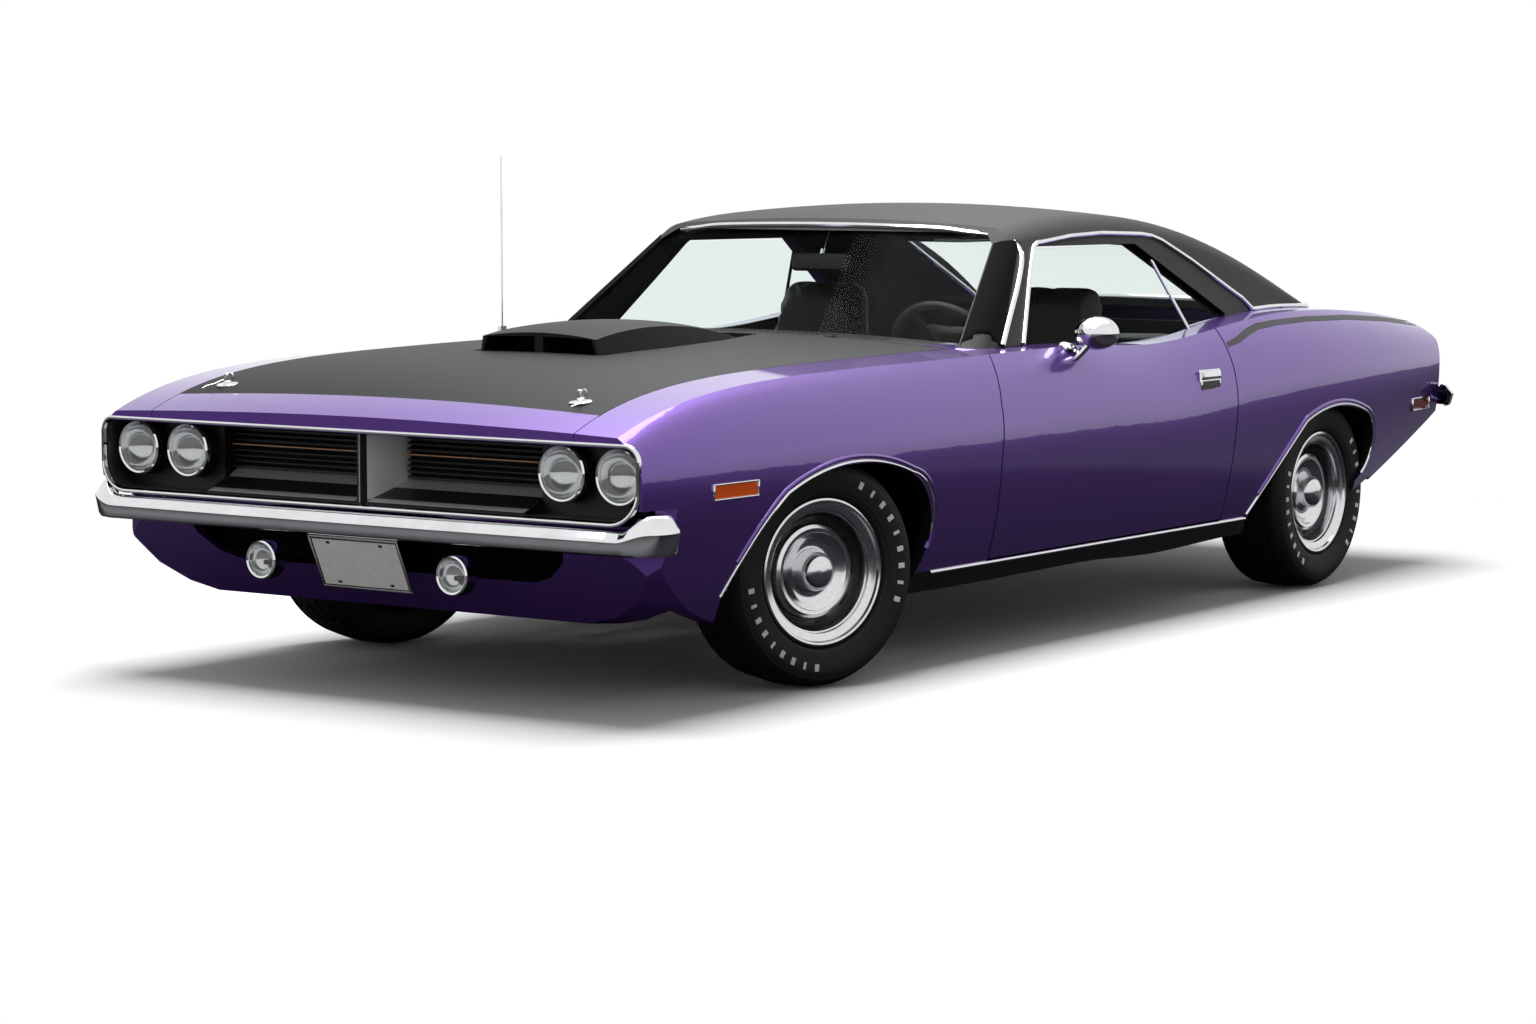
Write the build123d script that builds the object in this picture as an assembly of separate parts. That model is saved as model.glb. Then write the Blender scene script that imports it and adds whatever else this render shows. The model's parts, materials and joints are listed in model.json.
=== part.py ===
"""Two-door hardtop muscle car, built as separate panels, glass, lamps, cabin pieces and running gear.

Millimetres. +X points forward, +Y to the car's left, +Z up. The origin is on the ground, midway between axles.
"""

import os
from math import sqrt

from build123d import *

# Driving dimensions
WHEELBASE = 2790.0
FRONT_X = WHEELBASE / 2
REAR_X = -WHEELBASE / 2
TYRE_R = 310.0
TYRE_WIDTH = 245.0
RIM_R = 196.0
RIM_WIDTH = 200.0
FRONT_TRACK = 1490.0
REAR_TRACK = 1520.0
STEER_REST = -18.0
KINGPIN_INSET = 40.0

# Walls, gaps and clearances
SKIN = 32.0
TOP_SKIN = 24.0
GAP = 6.0
HINGE_EDGE_GAP = 9.0
SEAT_GAP = 0.4
GLASS = 6.0
GLASS_RECESS = 9.0
GLASS_SLOT = 0.4
PILLAR = 42.0
ROOF_SKIN = 30.0
WHEEL_CLEARANCE = 9.0
SPINDLE_R = 30.0
BEARING_GAP = 0.3
SCOOP_GAP = 14.0

# Panel splits
DOOR_INNER_Y = 765.0
QUARTER_INNER_Y = 735.0
SILL_INNER_Y = 700.0
SILL_TOP = 278.0
HOOD_REAR_X = 640.0
HOOD_HALF_WIDTH = 712.0
COWL_REAR_X = 470.0
CABIN_REAR_X = -1640.0
TRUNK_FRONT_X = -1690.0
TRUNK_REAR_X = -2180.0
TRUNK_HALF_WIDTH = 610.0
VALANCE_TOP = 500.0
VALANCE_REAR_X = 2120.0
VALANCE_HOLLOW = ((2100, 800), (2300, 800), (2290, 500), (2262, 440), (2185, 300), (2100, 150))
NOSE_X = 2345.0
TAIL_X = -2345.0

# Lower body sections, front to rear
BODY_COLUMNS = "x z_low y_low y_wide z_wide y_crest z_crest z_top".split()
BODY_STATIONS = (
    (NOSE_X, 240, 822, 912, 610, 846, 722, 742),
    (2150, 235, 850, 930, 608, 850, 782, 812),
    (1800, 230, 866, 940, 604, 850, 828, 862),
    (FRONT_X, 225, 872, 944, 600, 848, 842, 880),
    (1000, 220, 876, 942, 600, 848, 846, 888),
    (600, 220, 878, 938, 600, 848, 850, 890),
    (0, 220, 878, 934, 602, 846, 850, 868),
    (-600, 220, 880, 936, 618, 842, 856, 874),
    (-950, 224, 882, 940, 645, 838, 890, 912),
    (REAR_X, 235, 878, 942, 668, 830, 902, 925),
    (-1800, 300, 862, 928, 684, 816, 880, 906),
    (-2100, 360, 840, 904, 694, 798, 848, 878),
    (TAIL_X, 420, 815, 876, 700, 780, 812, 842),
)
# Side outline of nose and tail, x and z, that trims the sections' ends
NOSE_OUTLINE = ((NOSE_X + 1, 1400), (NOSE_X + 1, 690), (2322, 500), (2292, 440), (2215, 300), (2130, 150))
TAIL_OUTLINE = (
    (-1500, 150), (-1690, 316), (-2305, 540), (-2338, 600),
    (-2318, 699), (-2255, 785), (-2165, 850), (-2165, 1400),
)

# Plan outline of nose and tail: end on the side, corner middle, corner start, centre
NOSE_PLAN_HIGH = ((2284, 934), (2327, 918), (2341, 880), (2346, 0))
NOSE_PLAN_LOW = ((2170, 938), (2256, 874), (2288, 790), (2326, 0))
TAIL_PLAN = ((-2190, 925), (-2272, 858), (-2302, 790), (-2342, 0))
PLAN_SPLIT_Z = 545.0
CORE_TAIL = ((-2290, 0), (-2290, 610), (-2272, 690), (-2218, 760), (-2140, 818), (-2140, 1400))
CORE_NOSE_X = 2280.0
# Corner wedges cut off under the nose, y and z, at a front and a rear station
CHIN_FRONT_X = 2400.0
CHIN_REAR_X = 1900.0
CHIN_FRONT = ((380, 100), (380, 232), (600, 280), (740, 345), (825, 425), (900, 535), (1000, 540), (1000, 100))
CHIN_REAR = ((860, 100), (860, 222), (900, 226), (946, 234), (975, 240), (985, 245), (1000, 248), (1000, 100))

# Roof and pillar sections behind the windscreen header, front to rear
ROOF_COLUMNS = "x y_base y_rail z_rail y_crown z_crown z_top".split()
HEADER = (150, 855, 645, 1150, 560, 1193, 1214)
ROOF_STATIONS = (
    HEADER,
    (-150, 853, 652, 1162, 560, 1222, 1250),
    (-550, 850, 652, 1152, 560, 1216, 1244),
    (-950, 840, 664, 1098, 566, 1160, 1186),
    (-1300, 820, 690, 1000, 585, 1060, 1086),
    (-1700, 765, 728, 868, 620, 888, 900),
)
# The windscreen wedge is ruled from its foot to the header
SCREEN_STATIONS = ((600, 845, 800, 792, 700, 850, 884), HEADER)
ROOF_FOOT_Z = 700.0

# Window openings: front view y and z, side view x and z, rear view y and z
SCREEN_OPENING = ((775, 720), (600, 1146), (560, 1178))
SCREEN_PANE = ((773.6, 720), (599.4, 1146), (559.6, 1177.6))
SIDE_OPENING = ((435, 720), (62, 1136), (-530, 1132), (-955, 905), (-840, 720))
REAR_OPENING = ((650, 720), (530, 1120))
WINDOW_SPLIT = ((-575, 1200), (-745, 720))
PANE_GAP = 10.0

# Door edges in side view, x and z, top to bottom
DOOR_FRONT_EDGE = ((600, 900), (668, 720), (692, 560), (702, 200))
DOOR_REAR_EDGE = ((-722, 900), (-700, 720), (-690, 600), (-650, 200))

# Lid hinges: axis x and z, and the knuckles' places along y
HOOD_HINGE = (650.0, 881.0)
HOOD_KNUCKLE_Y = 330.0
TRUNK_HINGE = (-1700.0, 902.0)
TRUNK_KNUCKLE_Y = 380.0
HINGE_PIN_R = 5.0

# Wheel arches in side view, x and z: foot, arcs by start, middle and end, foot
FRONT_ARCH = ((1965, 300), (1880, 425), (1740, 545), (1440, 604), (1165, 560), (1042, 400), (1130, 230))
REAR_ARCH = ((-835, 270), (-975, 410), (-1160, 554), (-1375, 594), (-1600, 560), (-1672, 470), (-1600, 335))

# Floor, firewall and wheelhouses
FLOOR_TOP = 280.0
FLOOR_REAR = 470.0
FLOOR_TRUNK = 420.0
FLOOR_SKIN = 18.0
FLOOR_STEPS = (
    (-2146, FLOOR_TRUNK), (-1712, FLOOR_TRUNK), (-1682, FLOOR_REAR), (-770, FLOOR_REAR), (-630, FLOOR_TOP),
)
FLOOR_SHIFT = (8, -8, -8, 10, 10)
TAIL_RISE = ((-2274, 562), (-2146, 420), (-2138, 402), (-2274, 544))
TRUNK_FLOOR_Y = 620.0
TUB_SKIN = 14.0
FIREWALL_X = 716.0
HOUSE_R = 330.0
HOUSE_INNER_Y = 575.0
HOUSE_OUTER_Y = 884.0
TUB_OUTER_Y = 760.0
BELT_SLOT_Z = 790.0

# Nose, lamps and plate
MOUTH_WIDTH = 1800.0
MOUTH_HEIGHT = 186.0
MOUTH_Z = 606.0
MOUTH_LOW_R = 80.0
MOUTH_TOP_R = 34.0
GRILLE_BACK_X = 2168.0
GRILLE_HALF_WIDTH = 540.0
LAMP_INNER_Y = 634.0
LAMP_OUTER_Y = 814.0
LAMP_Z = 623.0
LAMP_X = 2278.0
LAMP_R = 66.0
LAMP_DEPTH = 60.0
LAMP_WALL = 9.0
VENT_LOW_Z = 336.0
VENT_OUTLINE = ((44, VENT_LOW_Z), (500, VENT_LOW_Z), (560, 352), (620, 398), (632, 428), (44, 428))
FOG_Y = 324.0
FOG_Z = 352.0
PLATE_X = 2322.0
PLATE_Z = 360.0
PLATE_TILT = 24.0
PLATE_WIDTH = 300.0
PLATE_HEIGHT = 150.0
FRONT_MARKER = (1880, 2060, 556, 590)
REAR_MARKER = (-2160, -2000, 545, 580)
TAIL_LENS = (240, 590, 640, 735)

# Engine, scoop and cabin pieces
ENGINE_TOP = 700.0
SCOOP_COLUMNS = "x y_foot y_top z_top".split()
SCOOP_STATIONS = ((1580, 214, 196, 926), (1300, 216, 180, 950), (1000, 186, 140, 930), (715, 96, 60, 884))
SCOOP_FOOT_Z = 800.0
COLUMN_X = 150.0
COLUMN_Y = 420.0
COLUMN_Z = 800.0
COLUMN_TILT = -62.0
SEAT_Y = 432.0
SEAT_WIDTH = 470.0

# Blade bumpers: centre x, then corner, shoulder and end in plan, heights of foot, top and tip
BUMPER_COLUMNS = "x_mid corner shoulder end z_low z_high z_tip".split()
FRONT_BUMPER = (2374, (2362, 850), (2338, 934), (2228, 956), 434, 498, 536)
REAR_BUMPER = (-2370, (-2344, 810), (-2308, 906), (-2235, 940), 548, 604, 622)
BLADE = 22.0
BRACKET_Y = 420.0
JACK_PAD = 450.0
JACK_PAD_Z = 254.0

HUB_Z = TYRE_R
FRONT_WHEEL_Y = FRONT_TRACK / 2
REAR_WHEEL_Y = REAR_TRACK / 2
KINGPIN_Y = FRONT_WHEEL_Y - KINGPIN_INSET
SWEEP_R = sqrt(TYRE_R**2 + (TYRE_WIDTH / 2 + KINGPIN_INSET) ** 2) + WHEEL_CLEARANCE


def rows(table, columns):
    return [dict(zip(columns, row)) for row in table]


def block(x0, x1, y0, y1, z0, z1):
    """A box between two corners."""
    return Pos((x0 + x1) / 2, (y0 + y1) / 2, (z0 + z1) / 2) * Box(abs(x1 - x0), abs(y1 - y0), abs(z1 - z0))


def side_prism(points, y0, y1):
    """A closed side-view outline in x and z, run from y0 to y1."""
    return extrude(Plane.XZ.offset(-y1) * make_face(Polyline(*points, close=True)), y1 - y0)


def front_prism(points, x0, x1):
    """A closed front-view outline in y and z, run from x0 to x1."""
    return extrude(Plane.YZ.offset(x0) * make_face(Polyline(*points, close=True)), x1 - x0)


def plan_prism(points, z0, z1):
    """A closed plan outline in x and y, run from z0 to z1."""
    return extrude(Plane.XY.offset(z0) * make_face(Polyline(*points, close=True)), z1 - z0)


def mirrored(points):
    """A half outline, followed by its mirror image back to the start."""
    return tuple(points) + tuple((-y, z) for y, z in reversed(points))


def other_side(shape):
    return mirror(shape, about=Plane.XZ)


def group(*shapes):
    """Separate solids kept in one node."""
    return Compound(children=[solid for shape in shapes for solid in shape.solids()])


def both_sides(shape):
    return group(shape, other_side(shape))


def whole(shape):
    """The main solid of a cut, without the crumbs that trimming leaves."""
    return max(shape.solids(), key=lambda solid: solid.volume)


def body_section(s, side, top):
    """One closed section of the lower body: flat foot, two tangent arcs a side, crest and crowned top."""
    y_low, z_low = s["y_low"] - side, s["z_low"]
    y_wide, z_wide = s["y_wide"] - side, s["z_wide"]
    y_crest, z_crest, z_top = s["y_crest"] - side, s["z_crest"] - top, s["z_top"] - top
    edges = Line((-y_low, z_low), (y_low, z_low))
    for k in (1, -1):
        edges += TangentArc((k * y_wide, z_wide), (k * y_low, z_low), tangent=(0, -1))
        edges += TangentArc((k * y_wide, z_wide), (k * y_crest, z_crest), tangent=(0, 1))
    edges += ThreePointArc((y_crest, z_crest), (0, z_top), (-y_crest, z_crest))
    return Plane.YZ.offset(s["x"]) * make_face(edges)


def body_loft(side=0.0, top=0.0):
    return loft([body_section(s, side, top) for s in rows(BODY_STATIONS, BODY_COLUMNS)])


def roof_section(s, inset, top):
    """One closed section of the cabin's upper part: straight side, rounded rail and crowned roof."""
    y_base, y_rail, y_crown = s["y_base"] - inset, s["y_rail"] - inset, s["y_crown"] - inset
    z_rail, z_crown, z_top = s["z_rail"] - top, s["z_crown"] - top, s["z_top"] - top
    rise = z_top - z_crown
    slope = 2 * rise * y_crown / (y_crown**2 + rise**2)
    edges = Line((-y_base, ROOF_FOOT_Z), (y_base, ROOF_FOOT_Z))
    for k in (1, -1):
        edges += Line((k * y_base, ROOF_FOOT_Z), (k * y_rail, z_rail))
        tangent = (k * sqrt(1 - slope**2), -slope)
        edges += TangentArc((k * y_crown, z_crown), (k * y_rail, z_rail), tangent=tangent)
    edges += ThreePointArc((y_crown, z_crown), (0, z_top), (-y_crown, z_crown))
    return Plane.YZ.offset(s["x"]) * make_face(edges)


def roof_loft(inset=0.0, top=None):
    top = inset if top is None else top
    rear = loft([roof_section(s, inset, top) for s in rows(ROOF_STATIONS, ROOF_COLUMNS)])
    screen = loft([roof_section(s, inset, top) for s in rows(SCREEN_STATIONS, ROOF_COLUMNS)], ruled=True)
    return rear + screen


def arch_prism(arch, y0, y1):
    """A wheel opening: three arcs in side view over an open foot."""
    a, b, c, d, e, f, g = arch
    foot = 100.0
    edges = ThreePointArc(a, b, c) + ThreePointArc(c, d, e) + ThreePointArc(e, f, g)
    edges += Polyline(g, (g[0], foot), (a[0], foot), a)
    return extrude(Plane.XZ.offset(-y1) * make_face(edges), y1 - y0)


def shifted(points, dx):
    return tuple((x + dx, z) for x, z in points)


def slab(shape, x0, x1, z0=0.0, z1=1500.0, y0=-1100.0, y1=1100.0):
    """The part of a shape inside a box."""
    return shape & block(x0, x1, y0, y1, z0, z1)


def end_plan(plan, z0, z1, inset=0.0):
    """A prism over half the car, ended by a bowed nose or tail with rounded corners."""
    s = 1 if plan[0][0] > 0 else -1
    (end, mid, corner), centre = [(x - s * inset, y - inset) for x, y in plan[:3]], plan[3][0] - s * inset
    far = -s * 3000.0
    side = ((end[0], 1200), (far, 1200), (far, -1200), (end[0], -1200))
    edges = Polyline(end, *side, (end[0], -end[1]))
    edges += ThreePointArc((end[0], -end[1]), (mid[0], -mid[1]), (corner[0], -corner[1]))
    edges += ThreePointArc((corner[0], -corner[1]), (centre, 0), corner) + ThreePointArc(corner, mid, end)
    return extrude(Plane.XY.offset(z0) * make_face(edges), z1 - z0)


def chin(inset=0.0):
    """The wedge cut off the left lower corner of the nose, grown by inset."""
    faces = []
    for x, outline in ((CHIN_FRONT_X, CHIN_FRONT), (CHIN_REAR_X, CHIN_REAR)):
        grown = [(y - inset if y < 1000 else y, z + inset if z > 100 else z) for y, z in outline]
        faces.append(Plane.YZ.offset(x) * make_face(Polyline(*grown, close=True)))
    return loft(faces, ruled=True)


def mouth_sketch(grow=0.0):
    """The mouth's outline: tight top corners and wide bottom ones."""
    wide, high = MOUTH_WIDTH + 2 * grow, MOUTH_HEIGHT + 2 * grow
    low = RectangleRounded(wide, high, MOUTH_LOW_R + grow)
    return low + Pos(0, high / 4) * RectangleRounded(wide, high / 2, MOUTH_TOP_R + grow)


outer = body_loft() & side_prism((*NOSE_OUTLINE, *TAIL_OUTLINE), -1100, 1100)
outer = outer & end_plan(TAIL_PLAN, 0, 1400)
outer = outer & (end_plan(NOSE_PLAN_LOW, 0, PLAN_SPLIT_Z) + end_plan(NOSE_PLAN_HIGH, PLAN_SPLIT_Z, 1400))
outer = outer - chin() - other_side(chin())
core = body_loft(SKIN, TOP_SKIN)
core = core & side_prism(((CORE_NOSE_X, 1400), (CORE_NOSE_X, 0), *CORE_TAIL), -1100, 1100)
core = core & end_plan(TAIL_PLAN, 0, 1400, SKIN)
fill = body_loft(SKIN + SEAT_GAP, TOP_SKIN + 10) - chin(SKIN) - other_side(chin(SKIN))
belly = block(TAIL_X + 60, VALANCE_REAR_X, -840, 840, 100, 430)
shell = outer - core - belly
mouth = Pos(NOSE_X, 0, MOUTH_Z) * extrude(Plane.YZ * mouth_sketch(), 195, both=True)
cabin = roof_loft()
cabin_inner = roof_loft(PILLAR, ROOF_SKIN)
pane_shell = roof_loft(GLASS_RECESS) - roof_loft(GLASS_RECESS + GLASS)
slot_shell = roof_loft(GLASS_RECESS - GLASS_SLOT) - roof_loft(GLASS_RECESS + GLASS + GLASS_SLOT)
body_top = body_loft(-SEAT_GAP, -SEAT_GAP)
screen_cut = front_prism(mirrored(SCREEN_OPENING), 140, 800)
rear_cut = front_prism(mirrored(REAR_OPENING), -2000, -1010)
side_cut = side_prism(SIDE_OPENING, 300, 1100)
front_arch = arch_prism(FRONT_ARCH, 0, 1100)
rear_arch = arch_prism(REAR_ARCH, 0, 1100)
rear_wheelhouse = Pos(REAR_X, 730, HUB_Z) * Rot(90, 0, 0) * Cylinder(HOUSE_R, 2 * (HOUSE_OUTER_Y - 730))


def roof_panel():
    return cabin - cabin_inner - body_top - screen_cut - rear_cut - side_cut - other_side(side_cut)


def windscreen():
    return (pane_shell & front_prism(mirrored(SCREEN_PANE), 140, 800)) - body_top


def rear_window():
    opening = front_prism(mirrored(((650 - SEAT_GAP, 720), (530 - SEAT_GAP, 1120 - SEAT_GAP))), -2000, -1010)
    return (pane_shell & opening) - body_top


def side_panes():
    """Door pane and quarter pane of the left side, split by the slanting line between them."""
    opening = side_prism(shrunk(SIDE_OPENING), 300, 1100)
    panes = pane_shell & opening & block(-1200, 600, 300, 1100, BELT_SLOT_Z, 1300)
    (top_x, top_z), (low_x, low_z) = WINDOW_SPLIT
    ahead = ((top_x, top_z), (low_x, low_z), (700, low_z), (700, top_z))
    behind = ((top_x - PANE_GAP, top_z), (low_x - PANE_GAP, low_z), (-1300, low_z), (-1300, top_z))
    return panes & side_prism(ahead, 300, 1100), (panes & side_prism(behind, 300, 1100)) - body_top


def shrunk(points):
    """A side-window outline drawn in by the door's clearance."""
    mid_x = sum(x for x, z in points) / len(points)
    return tuple((x - GAP if x > mid_x else x + SEAT_GAP, z - GAP if z > 1000 else z) for x, z in points)


def fender():
    outline = (*shifted(DOOR_FRONT_EDGE, GAP), (2400, 200), (2400, 900))
    ahead = side_prism(outline, HOOD_HALF_WIDTH + GAP / 2, 1100)
    wall = (shell - mouth) & ahead
    wall = wall - block(500, 1200, 0, 1100, 0, SILL_TOP + SEAT_GAP)
    wall = wall - block(VALANCE_REAR_X, 2400, 0, 1100, 0, VALANCE_TOP)
    wall = wall - front_arch - marker(FRONT_MARKER, SEAT_GAP)
    return whole(wall - Pos(FRONT_X, KINGPIN_Y, HUB_Z) * Sphere(SWEEP_R))


def marker(box, grow=0.0):
    """A side lamp's pocket through the outer skin."""
    x0, x1, z0, z1 = box
    return block(x0 - grow, x1 + grow, 820, 1000, z0 - grow, z1 + grow)


def hood():
    panel = shell & block(HOOD_REAR_X, NOSE_X + 5, -HOOD_HALF_WIDTH, HOOD_HALF_WIDTH, 600, 1000)
    return lid_hinge(panel - mouth - scoop_plan(SCOOP_GAP), HOOD_HINGE, HOOD_KNUCKLE_Y)


def knuckle_pin(axis, y, radius, width):
    return Pos(axis[0], y, axis[1]) * Rot(90, 0, 0) * Cylinder(radius, width)


def lid_hinge(lid, axis, y):
    """A lid with two notches in its hinge edge, each crossed by a pin."""
    for k in (y, -y):
        notch = block(axis[0] - 14, axis[0] + 14, k - 16, k + 16, 700, 1000)
        lid = lid - notch + knuckle_pin(axis, k, HINGE_PIN_R, 34)
    return lid


def hinge_arms(panel, axis, y, reach):
    """A fixed panel with two arms whose eyes hold a lid's pins."""
    for k in (y, -y):
        arm = block(axis[0], axis[0] + reach, k - 12, k + 12, axis[1] - 7, axis[1] + 4)
        eye = knuckle_pin(axis, k, 9, 24)
        panel = panel + (arm + eye - knuckle_pin(axis, k, HINGE_PIN_R + SEAT_GAP, 30))
    return panel


def cowl():
    front = HOOD_REAR_X - HINGE_EDGE_GAP
    wide = block(COWL_REAR_X, front, -1000, 1000, 700, 1000) & cabin
    narrow = block(COWL_REAR_X, front, -HOOD_HALF_WIDTH, HOOD_HALF_WIDTH, 700, 1000)
    corner = block(612, 800, HOOD_HALF_WIDTH, 1000, 700, 1000)
    panel = (shell & (wide + narrow)) - corner - other_side(corner)
    return hinge_arms(panel, HOOD_HINGE, HOOD_KNUCKLE_Y, front - 4 - HOOD_HINGE[0])


def front_valance():
    wall = slab(outer, VALANCE_REAR_X + SEAT_GAP, 2400, 100, VALANCE_TOP - SEAT_GAP)
    hollow = side_prism(VALANCE_HOLLOW, -835, 835)
    hollow = (hollow & end_plan(NOSE_PLAN_LOW, 0, 1400, SKIN)) - chin(SKIN) - other_side(chin(SKIN))
    vent = front_prism(VENT_OUTLINE, VALANCE_REAR_X - 10, NOSE_X + 20)
    return whole(wall - hollow - vent - other_side(vent))


def scoop_section(s):
    y, t, z = s["y_foot"], s["y_top"], s["z_top"]
    edges = Polyline((t, z - 14), (y, SCOOP_FOOT_Z), (-y, SCOOP_FOOT_Z), (-t, z - 14))
    edges += ThreePointArc((t, z - 14), (0, z), (-t, z - 14))
    return Plane.YZ.offset(s["x"]) * make_face(edges)


def scoop_plan(gap):
    """A prism of the scoop's plan outline, grown by gap."""
    half = [(s["x"], s["y_foot"] + gap) for s in rows(SCOOP_STATIONS, SCOOP_COLUMNS)]
    half[0] = (half[0][0] + gap, half[0][1])
    half[-1] = (half[-1][0] - gap, half[-1][1])
    return plan_prism([*half, *((x, -y) for x, y in reversed(half))], 600, 1000)


def shaker_scoop():
    scoop = loft([scoop_section(s) for s in rows(SCOOP_STATIONS, SCOOP_COLUMNS)])
    inlet = front_prism(((14, 868), (196, 868), (180, 912), (14, 916)), 1430, 1700)
    foot = ENGINE_TOP + SEAT_GAP
    neck = Pos(1230, 0, (foot + SCOOP_FOOT_Z) / 2) * Cylinder(165, SCOOP_FOOT_Z - foot)
    tail = block(600, 800, -300, 300, 700, 862)
    return scoop - inlet - other_side(inlet) + neck - tail


def engine():
    crankcase = block(1000, 1640, -265, 265, 300, ENGINE_TOP)
    gearbox = Pos(700, 0, 380) * Rot(0, 90, 0) * Cone(90, 150, 600)
    mounts = block(1300, 1380, -300 + SEAT_GAP, 300 - SEAT_GAP, 440, 480)
    return crankcase + gearbox + mounts + block(1050, 1300, -140, 140, 200, 300)


def front_structure():
    """Firewall, hinge pillars, front rails and radiator support in one frame."""
    firewall = slab(fill, FIREWALL_X, FIREWALL_X + 20, FLOOR_TOP, 900)
    firewall = firewall - block(600, 800, -180, 180, 200, 560)
    pillar = slab(fill, FIREWALL_X, FIREWALL_X + 75, SILL_TOP + SEAT_GAP, 830, SILL_INNER_Y)
    rail = block(FIREWALL_X, 2082, 300, 340, 430, 490)
    support = slab(fill, 2080, VALANCE_REAR_X, 262, 730)
    support = support - block(2000, 2200, -290, 290, 330, 660)
    support = support - Pos(FRONT_X, KINGPIN_Y, HUB_Z) * Sphere(SWEEP_R)
    return firewall + pillar + other_side(pillar) + rail + other_side(rail) + support - mouth


def door():
    panel = (outer & side_prism((*DOOR_FRONT_EDGE, *reversed(DOOR_REAR_EDGE)), DOOR_INNER_Y, 1100))
    panel = panel - block(-900, 900, 0, 1100, 0, SILL_TOP + GAP)
    panel = panel - (roof_loft(-GAP) & block(330, 900, 0, 1100, 600, 1300))
    slot = slot_shell & block(-1200, 600, 300, 1100, BELT_SLOT_Z - GLASS_SLOT, 1300)
    return panel - slot


def quarter():
    outline = (*shifted(DOOR_REAR_EDGE, -GAP), (-2400, 200), (-2400, 1100), (-727, 1100))
    behind = side_prism(outline, 300, 1100)
    thick = slab(outer, CABIN_REAR_X, 0, y0=QUARTER_INNER_Y)
    thin = slab(shell, TAIL_X, CABIN_REAR_X + 1, y0=TRUNK_HALF_WIDTH + GAP / 2)
    tub = Rot(90, 0, 0) * Cylinder(HOUSE_R + TUB_SKIN, TUB_OUTER_Y - HOUSE_INNER_Y)
    tub = Pos(REAR_X, (HOUSE_INNER_Y + TUB_OUTER_Y) / 2, HUB_Z) * tub
    tub = tub & block(-1900, -900, 0, 1100, FLOOR_REAR, 1000)
    wall = (thick + thin) & behind
    wall = wall - block(-1200, 0, 0, 1100, 0, SILL_TOP + SEAT_GAP) - rear_arch - marker(REAR_MARKER, SEAT_GAP)
    wall = wall - block(TAIL_X - 20, -2200, 0, TRUNK_HALF_WIDTH + SEAT_GAP, 0, 1000)
    splash = slab(outer, -1760, -1746, 300, 700, TRUNK_FLOOR_Y + SEAT_GAP)
    return whole(wall + tub + splash - rear_wheelhouse - slot_shell)


def rear_deck():
    half = QUARTER_INNER_Y - SEAT_GAP
    wide = slab(shell, CABIN_REAR_X + 1 + SEAT_GAP, -1380, 820, 1000, -half, half)
    reach = TRUNK_HALF_WIDTH + GAP / 2 - SEAT_GAP
    front = TRUNK_FRONT_X + HINGE_EDGE_GAP
    panel = wide + slab(shell, front, CABIN_REAR_X + 2, 820, 1000, -reach, reach)
    return hinge_arms(panel, TRUNK_HINGE, TRUNK_KNUCKLE_Y, front + 4 - TRUNK_HINGE[0])


def trunk_lid():
    half = TRUNK_HALF_WIDTH - GAP / 2
    panel = slab(shell, TRUNK_REAR_X, TRUNK_FRONT_X, 780, 1000, -half, half)
    return lid_hinge(panel, TRUNK_HINGE, TRUNK_KNUCKLE_Y)


def tail_panel():
    half = TRUNK_HALF_WIDTH + GAP / 2 - SEAT_GAP
    wall = slab(outer - core - belly, TAIL_X - 20, TRUNK_REAR_X - GAP, 300, 1000, -half, half)
    lens = tail_lens(SEAT_GAP)
    return whole(wall - lens - other_side(lens))


def tail_lens(grow=0.0):
    y0, y1, z0, z1 = TAIL_LENS
    return block(TAIL_X - 20, TAIL_X + 75 + grow, y0 - grow, y1 + grow, z0 - grow, z1 + grow)


def red_lamps():
    lens = outer & tail_lens()
    return both_sides(group(lens, rear_side_marker()))


def rear_side_marker():
    return (outer - core) & marker(REAR_MARKER)


def rocker():
    sill = slab(outer, -900, 1100, 200, SILL_TOP, SILL_INNER_Y)
    sill = sill - arch_prism(FRONT_ARCH, 0, 1100) - rear_arch
    return sill - Pos(FRONT_X, KINGPIN_Y, HUB_Z) * Sphere(SWEEP_R)


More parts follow.
